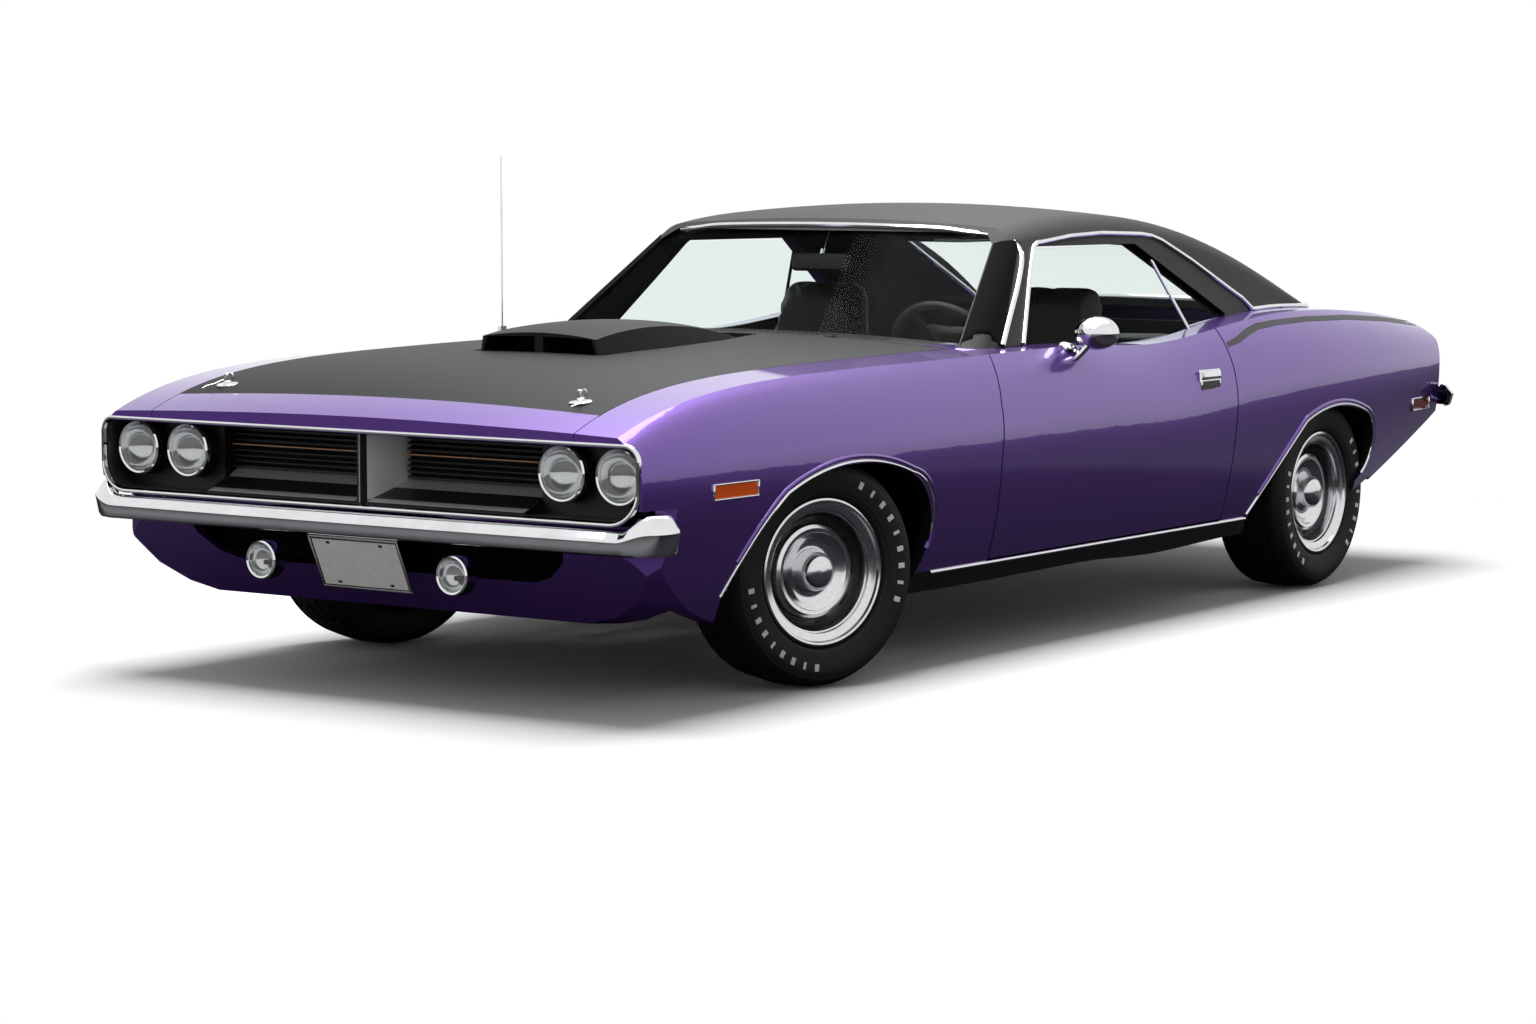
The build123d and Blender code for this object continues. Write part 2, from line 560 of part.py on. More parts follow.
def floor_pan():
    """Stepped floor with tunnel, rear-seat bulkhead and jack pads; a panel rises from it to the tail."""
    front, low = FIREWALL_X - SEAT_GAP, FLOOR_TOP - FLOOR_SKIN
    over = [(x, z) for x, z in FLOOR_STEPS] + [(front, FLOOR_TOP)]
    under = [(x + shift, z - FLOOR_SKIN) for (x, z), shift in zip(FLOOR_STEPS, FLOOR_SHIFT)] + [(front, low)]
    half = SILL_INNER_Y - SEAT_GAP
    pan = side_prism((*over, *reversed(under)), -half, half)
    tunnel = ((front, low), (front, 545), (200, 470), (-740, 470), (-740, low))
    bore = ((800, 100), (800, 530), (195, 455), (-800, 455), (-800, 100))
    step = ((-640, 400), (-640, 470), (-770, 470), (-770, 400))
    pan = pan + side_prism(tunnel, -185, 185) - side_prism(bore, -170, 170) + side_prism(step, -185, 185)
    house = Cylinder(HOUSE_R + TUB_SKIN + SEAT_GAP, 2 * (800 - HOUSE_INNER_Y + SEAT_GAP))
    house = Pos(REAR_X, 800, HUB_Z) * Rot(90, 0, 0) * house
    side = block(-2300, -1730, TRUNK_FLOOR_Y, 800, 100, 600)
    pan = pan - house - other_side(house) - side - other_side(side)
    for x in (-JACK_PAD, JACK_PAD):
        pad = block(x - 40, x + 40, JACK_PAD - 40, JACK_PAD + 40, JACK_PAD_Z, low + 1)
        pan = pan + pad + other_side(pad)
    riser = Pos(-SEAT_GAP, 0, 0) * side_prism(TAIL_RISE, -TRUNK_FLOOR_Y, TRUNK_FLOOR_Y)
    return group(pan + block(-1282, -1262, -560, 560, FLOOR_REAR, 860), riser)


def lamp_bore(radius, x0, x1):
    """Cylinders at the left pair of lamps."""
    bore = Pos((x0 + x1) / 2, 0, LAMP_Z) * Rot(0, 90, 0) * Cylinder(radius, x1 - x0)
    return Pos(0, LAMP_INNER_Y, 0) * bore + Pos(0, LAMP_OUTER_Y, 0) * bore


def grille():
    """Back panel, bars, sloping shelf, centre divider and lamp plates inside the mouth."""
    fit = mouth_sketch(-SEAT_GAP)
    room = Pos(NOSE_X, 0, MOUTH_Z) * extrude(Plane.YZ * fit, 195, both=True)
    low = MOUTH_Z - MOUTH_HEIGHT / 2
    half = GRILLE_HALF_WIDTH
    shape = block(GRILLE_BACK_X - 8, GRILLE_BACK_X + 8, -1000, 1000, 400, 800)
    for i in range(4):
        z = low + 84 + 26 * i
        shape += block(GRILLE_BACK_X, GRILLE_BACK_X + 26, -half, half, z - 4, z + 4)
    back, lip, rise = GRILLE_BACK_X, 2318, low + 62
    shelf = ((back, low), (lip, low), (lip, low + 7), (back + 24, rise), (back, rise))
    shape += side_prism(shelf, -half, half)
    ridge = ((GRILLE_BACK_X, 70), (2300, 16), (2326, 7))
    shape += plan_prism((*ridge, *((x, -y) for x, y in reversed(ridge))), 400, 800)
    plate = block(2236, 2248, half, 1000, 400, 800) + block(GRILLE_BACK_X, 2248, half, half + 10, 400, 800)
    plate = plate + lamp_bore(LAMP_R + LAMP_WALL, GRILLE_BACK_X, LAMP_X + 4)
    plate = plate - lamp_bore(LAMP_R + SEAT_GAP, LAMP_X - LAMP_DEPTH, 2400)
    return (shape + plate + other_side(plate)) & room


def headlamps():
    """Four bowls with domed lenses."""
    reach = 100.0
    depth = LAMP_DEPTH - SEAT_GAP
    bowl = Pos(LAMP_X - depth / 2, 0, 0) * Rot(0, 90, 0) * Cylinder(LAMP_R, depth)
    dome = Pos(LAMP_X - reach, 0, 0) * Sphere(sqrt(reach**2 + LAMP_R**2))
    lamp = bowl + (dome & Pos(LAMP_X + 20, 0, 0) * Rot(0, 90, 0) * Cylinder(LAMP_R, 50))
    return both_sides(group(*(Pos(0, y, LAMP_Z) * lamp for y in (LAMP_INNER_Y, LAMP_OUTER_Y))))


def bumper_bar(row, back):
    """A blade bumper: bowed in plan, with corners that sweep round and rise at the tips."""
    b = dict(zip(BUMPER_COLUMNS, row))
    s = 1 if b["x_mid"] > 0 else -1
    outline = [b["corner"], b["shoulder"], b["end"]]
    steps = ((BLADE, 6), (BLADE * 0.8, BLADE * 0.8), (0, BLADE))
    inner = [(x - s * dx, y - dy) for (x, y), (dx, dy) in zip(outline, steps)]
    edges = ThreePointArc(flip(outline[0]), (b["x_mid"], 0), outline[0])
    edges += ThreePointArc(flip(inner[0]), (b["x_mid"] - s * BLADE, 0), inner[0])
    for turn in (tuple, flip):
        edges += ThreePointArc(*(turn(point) for point in outline))
        edges += ThreePointArc(*(turn(point) for point in inner))
        edges += Line(turn(outline[2]), turn(inner[2]))
    ring = extrude(Plane.XY.offset(b["z_low"] - 50) * make_face(edges), b["z_tip"] - b["z_low"] + 100)
    wide = b["end"][1] + 40
    low, tip = b["z_low"], b["z_tip"]
    face = ((760, low), (wide, low + 8), (wide, tip), (925, tip), (845, b["z_high"]))
    near = min(b["x_mid"], b["end"][0]) - 60
    blade = ring & front_prism(mirrored(face), near, near + 400)
    foot, root = b["x_mid"] - s * BLADE / 2, b["x_mid"] - s * 4 * BLADE
    for y in (-BRACKET_Y, BRACKET_Y):
        arm = block(root, foot, y - 30, y + 30, b["z_low"] + 8, b["z_high"] - 8)
        blade += arm - Pos(back, 0, 0) * outer
    return blade


def flip(point):
    return (point[0], -point[1])


def licence_plate():
    plate = Pos(PLATE_X, 0, PLATE_Z) * Rot(0, PLATE_TILT, 0) * Box(4, PLATE_WIDTH, PLATE_HEIGHT)
    arm = block(2200, PLATE_X + 22, -60, 60, 398, 422) - Pos(SEAT_GAP, 0, 0) * outer
    return plate + arm


def fog_lamps():
    lamp = Pos(2312, FOG_Y, FOG_Z) * Rot(0, 90, 0) * Cylinder(50, 58)
    arm = block(2190, 2320, FOG_Y - 12, FOG_Y + 12, VENT_LOW_Z + SEAT_GAP, VENT_LOW_Z + 14)
    return both_sides(lamp + arm)


def dashboard():
    outline = ((245, 640), (240, 800), (300, 822), (715, 812), (FIREWALL_X - SEAT_GAP, 760), (430, 640))
    return side_prism(outline, -690, 690)


def steering_wheel():
    tilt = Pos(COLUMN_X, COLUMN_Y, COLUMN_Z) * Rot(0, COLUMN_TILT, 0)
    rim = Torus(185, 13) + Cylinder(38, 34)
    for a in (90, 210, 330):
        rim += Rot(0, 0, a) * Pos(100, 0, 0) * Box(180, 26, 8)
    column = Pos(0, 0, -150) * Cylinder(24, 300)
    return whole(tilt * (rim + column) - Pos(-SEAT_GAP, 0, 0) * dashboard())


def seat(width, base, back_x, top):
    """A cushion and a raked high back, side view run across the width."""
    lean = 150.0
    cushion = ((500, 0), (520, 190), (60, 160), (30, 0))
    rest = ((60, 0), (70, 165), (60 - lean, top - base), (-40 - lean, top - base), (-60, 0))
    half = width / 2
    shape = side_prism(cushion, -half, half) + side_prism(rest, -half, half)
    return Pos(back_x, 0, base) * shape


def front_seats():
    return both_sides(Pos(0, SEAT_Y, 0) * seat(SEAT_WIDTH, FLOOR_TOP + SEAT_GAP, -330, 1010))


def rear_seat():
    foot = FLOOR_REAR + SEAT_GAP
    cushion = ((-820, foot), (-800, 560), (-1100, 540), (-1100, foot))
    rest = ((-1060, foot), (-1080, 560), (-1180, 850), (-1260, 860), (-1262 + SEAT_GAP, foot))
    return side_prism(cushion, -560, 560) + side_prism(rest, -560, 560)


def front_suspension():
    beam = block(1355, 1435, -300, 300, 205, 262)
    post = block(1375, 1415, 298, 338, 205, 430 - SEAT_GAP)
    low_arm = plan_prism(((1365, 330), (1425, 330), (1412, 700), (1378, 700)), 196, 222 - SEAT_GAP)
    high_arm = plan_prism(((1372, 330), (1418, 330), (1410, 700), (1380, 700)), 398 + SEAT_GAP, 418)
    return beam + both_sides(post + low_arm + high_arm)


def wheel_place(x, y, steer):
    """The frame of a wheel: local z runs out along its axle."""
    turn = Rot(0, 0, steer) if x > 0 else Rot(0, 0, 0)
    side = 1 if y > 0 else -1
    if x > 0:
        pin = Pos(x, side * KINGPIN_Y, HUB_Z) * turn
        return pin * Pos(0, side * KINGPIN_INSET, 0) * Rot(-90 * side, 0, 0)
    return Pos(x, y, HUB_Z) * Rot(-90 * side, 0, 0)


def knuckle():
    """Kingpin post, spindle and brake disc; local z runs out along the axle from the wheel's centre."""
    spindle = Pos(0, 0, -KINGPIN_INSET / 2 + 25) * Cylinder(SPINDLE_R, KINGPIN_INSET + 50)
    disc = Pos(0, 0, -11) * Cylinder(135, 22)
    post = Pos(0, 0, -KINGPIN_INSET) * Rot(90, 0, 0) * Cylinder(17, 176)
    return spindle + disc + post


def tyre():
    """A round-shouldered tyre, revolved about local z."""
    w, b, r, lip = TYRE_WIDTH / 2, RIM_WIDTH / 2 - 12, TYRE_R, RIM_R - 12 + BEARING_GAP
    edges = Polyline((b, lip), (b + 6, RIM_R + 8))
    edges += ThreePointArc((b + 6, RIM_R + 8), (w, (RIM_R + r) / 2 + 6), (w - 26, r - 8))
    edges += ThreePointArc((w - 26, r - 8), (0, r), (-w + 26, r - 8))
    edges += ThreePointArc((-w + 26, r - 8), (-w, (RIM_R + r) / 2 + 6), (-b - 6, RIM_R + 8))
    edges += Polyline((-b - 6, RIM_R + 8), (-b, lip), (b, lip))
    return revolve(Plane.XZ * Rot(0, 0, 90) * make_face(edges), Axis.Z)


def rim():
    """A slotted steel wheel with a deep bowl, trim ring and cap."""
    w, r, bore = RIM_WIDTH / 2, RIM_R, SPINDLE_R + BEARING_GAP
    points = (
        (w, r - 2), (w, r - 16), (w - 18, r - 24), (40, r - 28), (24, 150), (34, 122), (40, 96),
        (30, 72), (34, 56), (34, bore), (14, bore), (14, 100), (8, 150), (8, r - 32), (-w, r - 24), (-w, r), (-w + 6, r),
        (-w + 12, r - 12), (w - 12, r - 12), (w - 6, r),
    )
    face = make_face(Polyline(*points, close=True))
    shape = revolve(Plane.XZ * Rot(0, 0, 90) * face, Axis.Z)
    for k in range(5):
        shape -= Rot(0, 0, 72 * k + 18) * Pos(140, 0, 0) * Box(30, 62, 120)
    cap = Pos(0, 0, 50) * Cylinder(46, 40) - Pos(0, 0, 40) * Cylinder(bore, 26)
    return shape + cap


def rear_axle():
    tube = Pos(REAR_X, 0, HUB_Z) * Rot(90, 0, 0) * Cylinder(38, 2 * (REAR_WHEEL_Y - 60))
    stub = Pos(REAR_X, 0, HUB_Z) * Rot(90, 0, 0) * Cylinder(SPINDLE_R, 2 * (REAR_WHEEL_Y + 45))
    drums = Pos(REAR_X, REAR_WHEEL_Y - 35, HUB_Z) * Rot(90, 0, 0) * Cylinder(140, 50)
    gears = Pos(REAR_X, 0, HUB_Z) * Sphere(125)
    gears = gears + Pos(REAR_X + 140, 0, HUB_Z) * Rot(0, 90, 0) * Cone(90, 50, 160)
    start, end = REAR_X + 200, 400 - SEAT_GAP
    shaft = Rot(0, 87.5, 0) * Cylinder(36, end - start - 10)
    shaft = Pos((start + end) / 2, 0, (HUB_Z + 380) / 2) * shaft
    return tube + stub + drums + other_side(drums) + gears + shaft


def leaf_springs():
    low = ThreePointArc((-790, 380), (REAR_X, 243), (-2000, 372))
    high = ThreePointArc((-2000, 401.6), (REAR_X, 272 - SEAT_GAP), (-790, 410))
    edges = low + Line((-2000, 372), (-2000, 401.6)) + high + Line((-790, 410), (-790, 380))
    leaf = extrude(Plane.XZ.offset(-520) * make_face(edges), 60)
    return both_sides(leaf)


def exhaust():
    pipe = Pos(-50, 270, 216) * Rot(0, 90, 0) * Cylinder(27, 2000)
    muffler = Pos(-450, 270, FLOOR_TOP - 18 - SEAT_GAP - 52) * Rot(0, 90, 0) * Cylinder(52, 560)
    return both_sides(pipe + muffler)


def fuel_tank():
    top = FLOOR_TRUNK - FLOOR_SKIN - SEAT_GAP
    return side_prism(((-1775, top), (-2010, top), (-2010, 380), (-1930, 318), (-1775, 290)), -280, 280)


def antenna():
    mast = Pos(757, -794, 1110) * Cylinder(3, 580) + Pos(757, -794, 870) * Cylinder(14, 40)
    return mast - body_top


def mirror_left():
    head = Pos(140, 910, 890) * (scale(Sphere(1), by=(58, 54, 37)) & block(0, 60, -60, 60, -60, 60))
    stalk = Pos(195, 893, 845) * Rot(0, -35, 0) * Cylinder(13, 110)
    return head + stalk - body_top


def gather():
    """Every node by name; wheels and knuckles are placed in the steered pose."""
    fender_l, door_l, quarter_l = fender(), door(), quarter()
    pane, quarter_pane = side_panes()
    parts = {
        "roof": roof_panel(), "windscreen": windscreen(), "rear_window": rear_window(),
        "door_left": door_l, "door_right": other_side(door_l),
        "door_glass_left": pane, "door_glass_right": other_side(pane),
        "quarter_glass": both_sides(quarter_pane),
        "fender_left": fender_l, "fender_right": other_side(fender_l), "hood": hood(), "cowl": cowl(),
        "front_valance": front_valance(), "quarter_left": quarter_l, "quarter_right": other_side(quarter_l),
        "rear_deck": rear_deck(), "trunk_lid": trunk_lid(), "tail_panel": tail_panel(),
        "rocker_panels": both_sides(rocker()), "floor_pan": floor_pan(), "front_structure": front_structure(),
        "grille": grille(), "headlamps": headlamps(),
        "side_markers": both_sides((outer - core) & marker(FRONT_MARKER)),
        "red_lamps": red_lamps(), "licence_plate": licence_plate(), "fog_lamps": fog_lamps(),
        "front_bumper": bumper_bar(FRONT_BUMPER, SEAT_GAP),
        "rear_bumper": bumper_bar(REAR_BUMPER, -SEAT_GAP),
        "dashboard": dashboard(), "steering_wheel": steering_wheel(),
        "front_seats": front_seats(), "rear_seat": rear_seat(),
        "engine": engine(), "shaker_scoop": shaker_scoop(), "front_suspension": front_suspension(),
        "rear_axle": rear_axle(), "leaf_springs": leaf_springs(),
        "exhaust": exhaust(), "fuel_tank": fuel_tank(),
        "antenna": antenna(), "mirror_left": mirror_left(),
    }
    one_tyre, one_rim, one_knuckle = tyre(), rim(), knuckle()
    for name, x, y in (("front_left", FRONT_X, FRONT_WHEEL_Y), ("front_right", FRONT_X, -FRONT_WHEEL_Y),
                       ("rear_left", REAR_X, REAR_WHEEL_Y), ("rear_right", REAR_X, -REAR_WHEEL_Y)):
        place = wheel_place(x, y, STEER_REST)
        parts["tyre_" + name] = place * one_tyre
        parts["rim_" + name] = place * one_rim
        if x > 0:
            parts["knuckle" + name[5:]] = place * one_knuckle
    return parts


def main():
    os.makedirs("parts", exist_ok=True)
    for name, shape in gather().items():
        export_step(shape, f"parts/{name}.step")


if __name__ == "__main__":
    main()
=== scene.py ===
"""Looks of a two-door hardtop muscle car: paint, vinyl, bright trim, glass, wheels, lamps and cabin.

Metres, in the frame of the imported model: +X forward, +Y to the car's left, +Z up.
"""

import json
from math import cos, pi, radians, sin

import bmesh
import bpy
from mathutils import Matrix, Vector
from mathutils.bvhtree import BVHTree
from mathutils.geometry import convex_hull_2d


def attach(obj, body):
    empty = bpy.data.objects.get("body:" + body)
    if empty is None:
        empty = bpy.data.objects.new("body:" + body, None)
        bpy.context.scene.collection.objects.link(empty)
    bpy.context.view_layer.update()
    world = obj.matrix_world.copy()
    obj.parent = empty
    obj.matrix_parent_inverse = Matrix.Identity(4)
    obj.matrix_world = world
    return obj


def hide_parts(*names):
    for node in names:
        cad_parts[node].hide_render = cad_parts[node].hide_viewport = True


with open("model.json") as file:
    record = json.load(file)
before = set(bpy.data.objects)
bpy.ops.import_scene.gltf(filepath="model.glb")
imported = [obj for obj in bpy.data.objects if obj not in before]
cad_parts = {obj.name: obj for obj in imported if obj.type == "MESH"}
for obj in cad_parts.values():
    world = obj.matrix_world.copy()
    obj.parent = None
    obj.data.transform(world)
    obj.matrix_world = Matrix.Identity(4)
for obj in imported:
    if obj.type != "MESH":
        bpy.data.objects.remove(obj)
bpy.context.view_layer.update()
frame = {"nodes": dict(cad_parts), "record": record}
NODES = frame["nodes"]

# Photograph and camera
FRAME_WIDTH_PX = 1536
FOCAL_PX = 3788.5
SENSOR_MM = 36.0
CAMERA_PLACE = (9.6757, 6.4239, 1.4407)
CAMERA_YAW = -145.031
CAMERA_PITCH = -5.569

# Places that several pieces share
SIDES = ((1, "left"), (-1, "right"))
AXLE_X = 1.395
HUB_Z = 0.31

# Clear of the car: beside, above and behind it and before its screen, where lines of sight start
BESIDE = 1.4
ABOVE = 1.6
BEHIND = -3.0
BEFORE_SCREEN = 1.6

# How far the grain of a surface varies its tone and its roughness
TONE_SPREAD = (0.86, 1.1)
ROUGH_SPREAD = (0.85, 1.15)

# Bands of Blender's wave texture repeat every 2 pi / 20 of a unit at a scale of 1
WAVE_RATE = 20.0

# Real flakes are about 0.1 mm; they are drawn coarser so that they show
FLAKE_MM = 1.1

# Where the black of hood and cowl gives way to the body colour
NOSE_BAND_X = 2.238
COWL_BLACK_Y = 0.62


def linear(code):
    """An sRGB hex colour as linear red, green, blue and alpha."""
    parts = [int(code[i:i + 2], 16) / 255 for i in (1, 3, 5)]
    return tuple(c / 12.92 if c <= 0.04045 else ((c + 0.055) / 1.055) ** 2.4 for c in parts) + (1.0,)


def add(tree, kind, settings=None, **inputs):
    """One node with its settings; an input is a value or another node's output, i0 is the first socket."""
    node = tree.nodes.new(kind)
    for key, value in (settings or {}).items():
        setattr(node, key, value)
    for key, value in inputs.items():
        socket = node.inputs[int(key[1:]) if key[1:].isdigit() else key.replace("_", " ")]
        if isinstance(value, bpy.types.NodeSocket):
            tree.links.new(value, socket)
        else:
            socket.default_value = value
    return node


def material(name):
    """A material with one Principled shader, its tree and that shader."""
    made = bpy.data.materials.new(name)
    made.use_nodes = True
    tree = made.node_tree
    return made, tree, tree.nodes["Principled BSDF"]


def set_inputs(shader, **values):
    """Plain values on a shader's own sockets."""
    for key, value in values.items():
        shader.inputs[key.replace("_", " ")].default_value = value


def show(tree, shader):
    """The shader is what the material shows."""
    tree.links.new(shader.outputs[0], tree.nodes["Material Output"].inputs["Surface"])


def flake_coat(tree, shader):
    """Metallic enamel under clear lacquer: a deep purple with fine sparkle and sharp reflections."""
    set_inputs(shader, Metallic=0.72, Coat_Weight=1.0, Coat_Roughness=0.03, Coat_IOR=1.5)
    place = add(tree, "ShaderNodeTexCoord").outputs["Object"]
    flakes = add(tree, "ShaderNodeTexVoronoi", {"feature": "F1"}, Vector=place, Scale=1000.0 / FLAKE_MM)
    tone = add(tree, "ShaderNodeMix", {"data_type": "RGBA"}, i0=flakes.outputs["Distance"],
               i6=linear("#734aac"), i7=linear("#533085"))
    tree.links.new(tone.outputs[2], shader.inputs["Base Color"])
    rough = add(tree, "ShaderNodeMapRange", Value=flakes.outputs["Distance"], To_Min=0.27, To_Max=0.36)
    tree.links.new(rough.outputs[0], shader.inputs["Roughness"])


def metallic_enamel():
    """The body's enamel."""
    made, tree, shader = material("metallic_purple_enamel")
    flake_coat(tree, shader)
    return made


def grained(tree, shader, code, metallic=0.0, roughness=0.5, grain=4.0, bump=0.0, **more):
    """One colour broken up by fine noise in tone, roughness and relief; grain is its size in mm."""
    set_inputs(shader, Metallic=metallic, **more)
    place = add(tree, "ShaderNodeTexCoord").outputs["Object"]
    noise = add(tree, "ShaderNodeTexNoise", Vector=place, Scale=1000.0 / grain, Detail=3.0).outputs["Fac"]
    low, high = [tuple(c * k for c in linear(code)[:3]) + (1.0,) for k in TONE_SPREAD]
    tone = add(tree, "ShaderNodeMix", {"data_type": "RGBA"}, i0=noise, i6=low, i7=high)
    tree.links.new(tone.outputs[2], shader.inputs["Base Color"])
    least, most = [roughness * k for k in ROUGH_SPREAD]
    rough = add(tree, "ShaderNodeMapRange", Value=noise, To_Min=least, To_Max=most)
    tree.links.new(rough.outputs[0], shader.inputs["Roughness"])
    if bump:
        relief = add(tree, "ShaderNodeBump", Strength=bump, Distance=0.001, Height=noise)
        tree.links.new(relief.outputs[0], shader.inputs["Normal"])


def plain(name, code, **how):
    """A material that is one such surface."""
    made, tree, shader = material(name)
    grained(tree, shader, code, **how)
    return made


def clear_pane(name, tint, haze=0.0, flute_mm=0.0):
    """Clear glass: light goes straight through, and it mirrors more where it turns away; flutes bend it."""
    made, tree, shader = material(name)
    tree.nodes.remove(shader)
    clear = add(tree, "ShaderNodeBsdfTransparent", Color=linear(tint))
    shine = add(tree, "ShaderNodeBsdfGlossy", Roughness=0.02)
    glow = add(tree, "ShaderNodeBsdfDiffuse", Color=linear("#e6e8e8"))
    if flute_mm:
        place = add(tree, "ShaderNodeTexCoord").outputs["Object"]
        bands = add(tree, "ShaderNodeTexWave", {"bands_direction": "Y"}, Vector=place,
                    Scale=2 * pi / (WAVE_RATE * flute_mm / 1000.0))
        relief = add(tree, "ShaderNodeBump", Strength=0.9, Distance=0.002, Height=bands.outputs["Fac"])
        tree.links.new(relief.outputs[0], shine.inputs["Normal"])
        tree.links.new(relief.outputs[0], glow.inputs["Normal"])
    amount = add(tree, "ShaderNodeLayerWeight", Blend=0.05).outputs["Fresnel"]
    back = add(tree, "ShaderNodeNewGeometry").outputs["Backfacing"]
    front = add(tree, "ShaderNodeMath", {"operation": "SUBTRACT"}, i0=1.0, i1=back)
    amount = add(tree, "ShaderNodeMath", {"operation": "MULTIPLY"}, i0=amount, i1=front.outputs[0])
    milky = add(tree, "ShaderNodeMixShader", Fac=haze, i1=clear.outputs[0], i2=glow.outputs[0])
    both = add(tree, "ShaderNodeMixShader", Fac=amount.outputs[0], i1=milky.outputs[0], i2=shine.outputs[0])
    show(tree, both)
    return made


# Flat sprayed enamel: a soft broad sheen and no mirror image
FLAT_BLACK = {"code": "#141516", "roughness": 0.55, "grain": 1.5, "bump": 0.05, "Specular_IOR_Level": 0.14}


def two_tone(name, axis, middle, reach):
    """Flat black enamel within a band along one axis, and the body's enamel beyond it."""
    made, tree, shader = material(name)
    grained(tree, shader, **FLAT_BLACK)
    gloss = tree.nodes.new("ShaderNodeBsdfPrincipled")
    flake_coat(tree, gloss)
    place = add(tree, "ShaderNodeTexCoord").outputs["Object"]
    along = add(tree, "ShaderNodeSeparateXYZ", Vector=place).outputs[axis]
    band = add(tree, "ShaderNodeMath", {"operation": "COMPARE"}, i0=along, i1=middle, i2=reach)
    both = add(tree, "ShaderNodeMixShader", Fac=band.outputs[0], i1=gloss.outputs[0], i2=shader.outputs[0])
    show(tree, both)
    return made


def lined(name, centre, lining, outside=None):
    """A panel with a dull lining on the faces that look towards a centre, the cabin's or a wheel's."""
    made, tree, shader = material(name)
    if outside:
        grained(tree, shader, **outside)
    else:
        flake_coat(tree, shader)
    inside = tree.nodes.new("ShaderNodeBsdfPrincipled")
    grained(tree, inside, lining, roughness=0.65, grain=3.0, Specular_IOR_Level=0.2)
    spots = add(tree, "ShaderNodeTexCoord")
    reach = add(tree, "ShaderNodeVectorMath", {"operation": "SUBTRACT"}, i0=spots.outputs["Object"],
                i1=centre)
    facing = add(tree, "ShaderNodeVectorMath", {"operation": "DOT_PRODUCT"}, i0=reach.outputs[0],
                 i1=spots.outputs["Normal"])
    mask = add(tree, "ShaderNodeMath", {"operation": "LESS_THAN"}, i0=facing.outputs["Value"], i1=0.0)
    both = add(tree, "ShaderNodeMixShader", Fac=mask.outputs[0], i1=shader.outputs[0], i2=inside.outputs[0])
    show(tree, both)
    return made


paint = metallic_enamel()
matt_black = plain("matt_black_enamel", **FLAT_BLACK)
# Embossed vinyl: a leathery grain that breaks up the light
vinyl = plain("grained_vinyl", "#1c1c1e", roughness=0.60, grain=3.0, bump=0.35, Specular_IOR_Level=0.28)
# Polished plating: a clean mirror, barely clouded
chrome = plain("polished_chrome", "#e3e4e6", metallic=1.0, roughness=0.06, grain=60.0)
# Toughened glass: nearly colourless, with a mirror image at a slant
glass = clear_pane("toughened_glass", "#f8fbfa")
# Pressed glass with upright flutes: slightly milky, with broken highlights
fluted_glass = clear_pane("pressed_lamp_glass_flutes", "#f4f5f5", 0.22, 6.0)
# Hood and cowl: flat black that stops at a crisp masked edge
hood_enamel = two_tone("two_tone_hood_enamel", "X", NOSE_BAND_X - 2.0, 2.0)
cowl_enamel = two_tone("two_tone_cowl_enamel", "Y", 0.0, COWL_BLACK_Y)
# Moulded white rubber: chalky and dull
white_rubber = plain("white_sidewall_rubber", "#ecece8", roughness=0.6, grain=3.0)
# Dark metallic wheel enamel: a deep bowl with a soft glint
bowl_grey = plain("grey_wheel_enamel", "#3d3e40", metallic=0.7, roughness=0.32, grain=4.0)
# Hand-painted line: a thin warm thread on black
copper = plain("copper_pinstripe_paint", "#e0a070", metallic=0.2, roughness=0.35, grain=3.0)
# Silver-grey enamel: flat and cool beside the chrome
argent_grey = plain("argent_grille_enamel", "#c2c3c5", metallic=0.45, roughness=0.42, grain=2.0)
# Semi-gloss black enamel on die casting: edges catch a little light
grille_dark = plain("black_grille_enamel", "#2c2c2e", roughness=0.38, grain=2.0)
# Vacuum-silvered bowl: bright and slightly soft
reflector = plain("silvered_lamp_bowl", "#e9eaeb", metallic=1.0, roughness=0.14, grain=8.0)
# Extruded rubber that swallows the light; laid wide over the front pillars its black is a painted dark
# reflection, and behind the valance vents it is painted shade
black_seal_and_painted_shade = plain("black_seal_rubber_and_painted_shade", "#080809", roughness=0.8, grain=2.0, Specular_IOR_Level=0.05)
# Polished steel: bright, with blurred rings of light
wheel_bright = plain("polished_wheel_steel", "#d9dadc", metallic=1.0, roughness=0.17, grain=14.0, bump=0.05)
# Vinyl tape: darker and duller than the enamel round it
stripe_black = plain("black_stripe_tape", "#232427", roughness=0.42, grain=2.0)
# Pressed glass over silver, seen as one surface
lamp_glass = plain("pressed_lamp_glass", "#d9dcdc", metallic=0.6, roughness=0.16, grain=12.0)
# Moulded clear-coated lenses: strong colour and a wet highlight
amber = plain("amber_lens", "#ff6410", roughness=0.2, grain=6.0, Coat_Weight=0.6)
red = plain("red_lens", "#7d0c0c", roughness=0.2, grain=6.0, Coat_Weight=0.6)
# Satin enamel: black with a narrow sheen; as the wheel slots, the plate's bolt slots and the handle recesses
# its black is painted shade
satin_black_and_painted_shade = plain("satin_black_enamel_and_painted_shade", "#101011", roughness=0.4, grain=2.0, Specular_IOR_Level=0.35)
# Painted sheet: even and pale
plate = plain("blank_plate_enamel", "#ecece9", roughness=0.35, grain=20.0)
# Upholstery vinyl: fine grain and soft folds of light
seat_vinyl = plain("seat_vinyl", "#161617", roughness=0.5, grain=2.0, bump=0.2, Specular_IOR_Level=0.3)
# Moulded plastic with a stippled face: dull, no clear reflection
cabin_plastic = plain("moulded_cabin_plastic", "#141415", roughness=0.55, grain=1.2, bump=0.15,
                      Specular_IOR_Level=0.3)
# Brushed-on undercoat: rough and nearly black
undercoat = plain("black_undercoat", "#0e0e0f", roughness=0.7, grain=3.0, bump=0.3, Specular_IOR_Level=0.2)
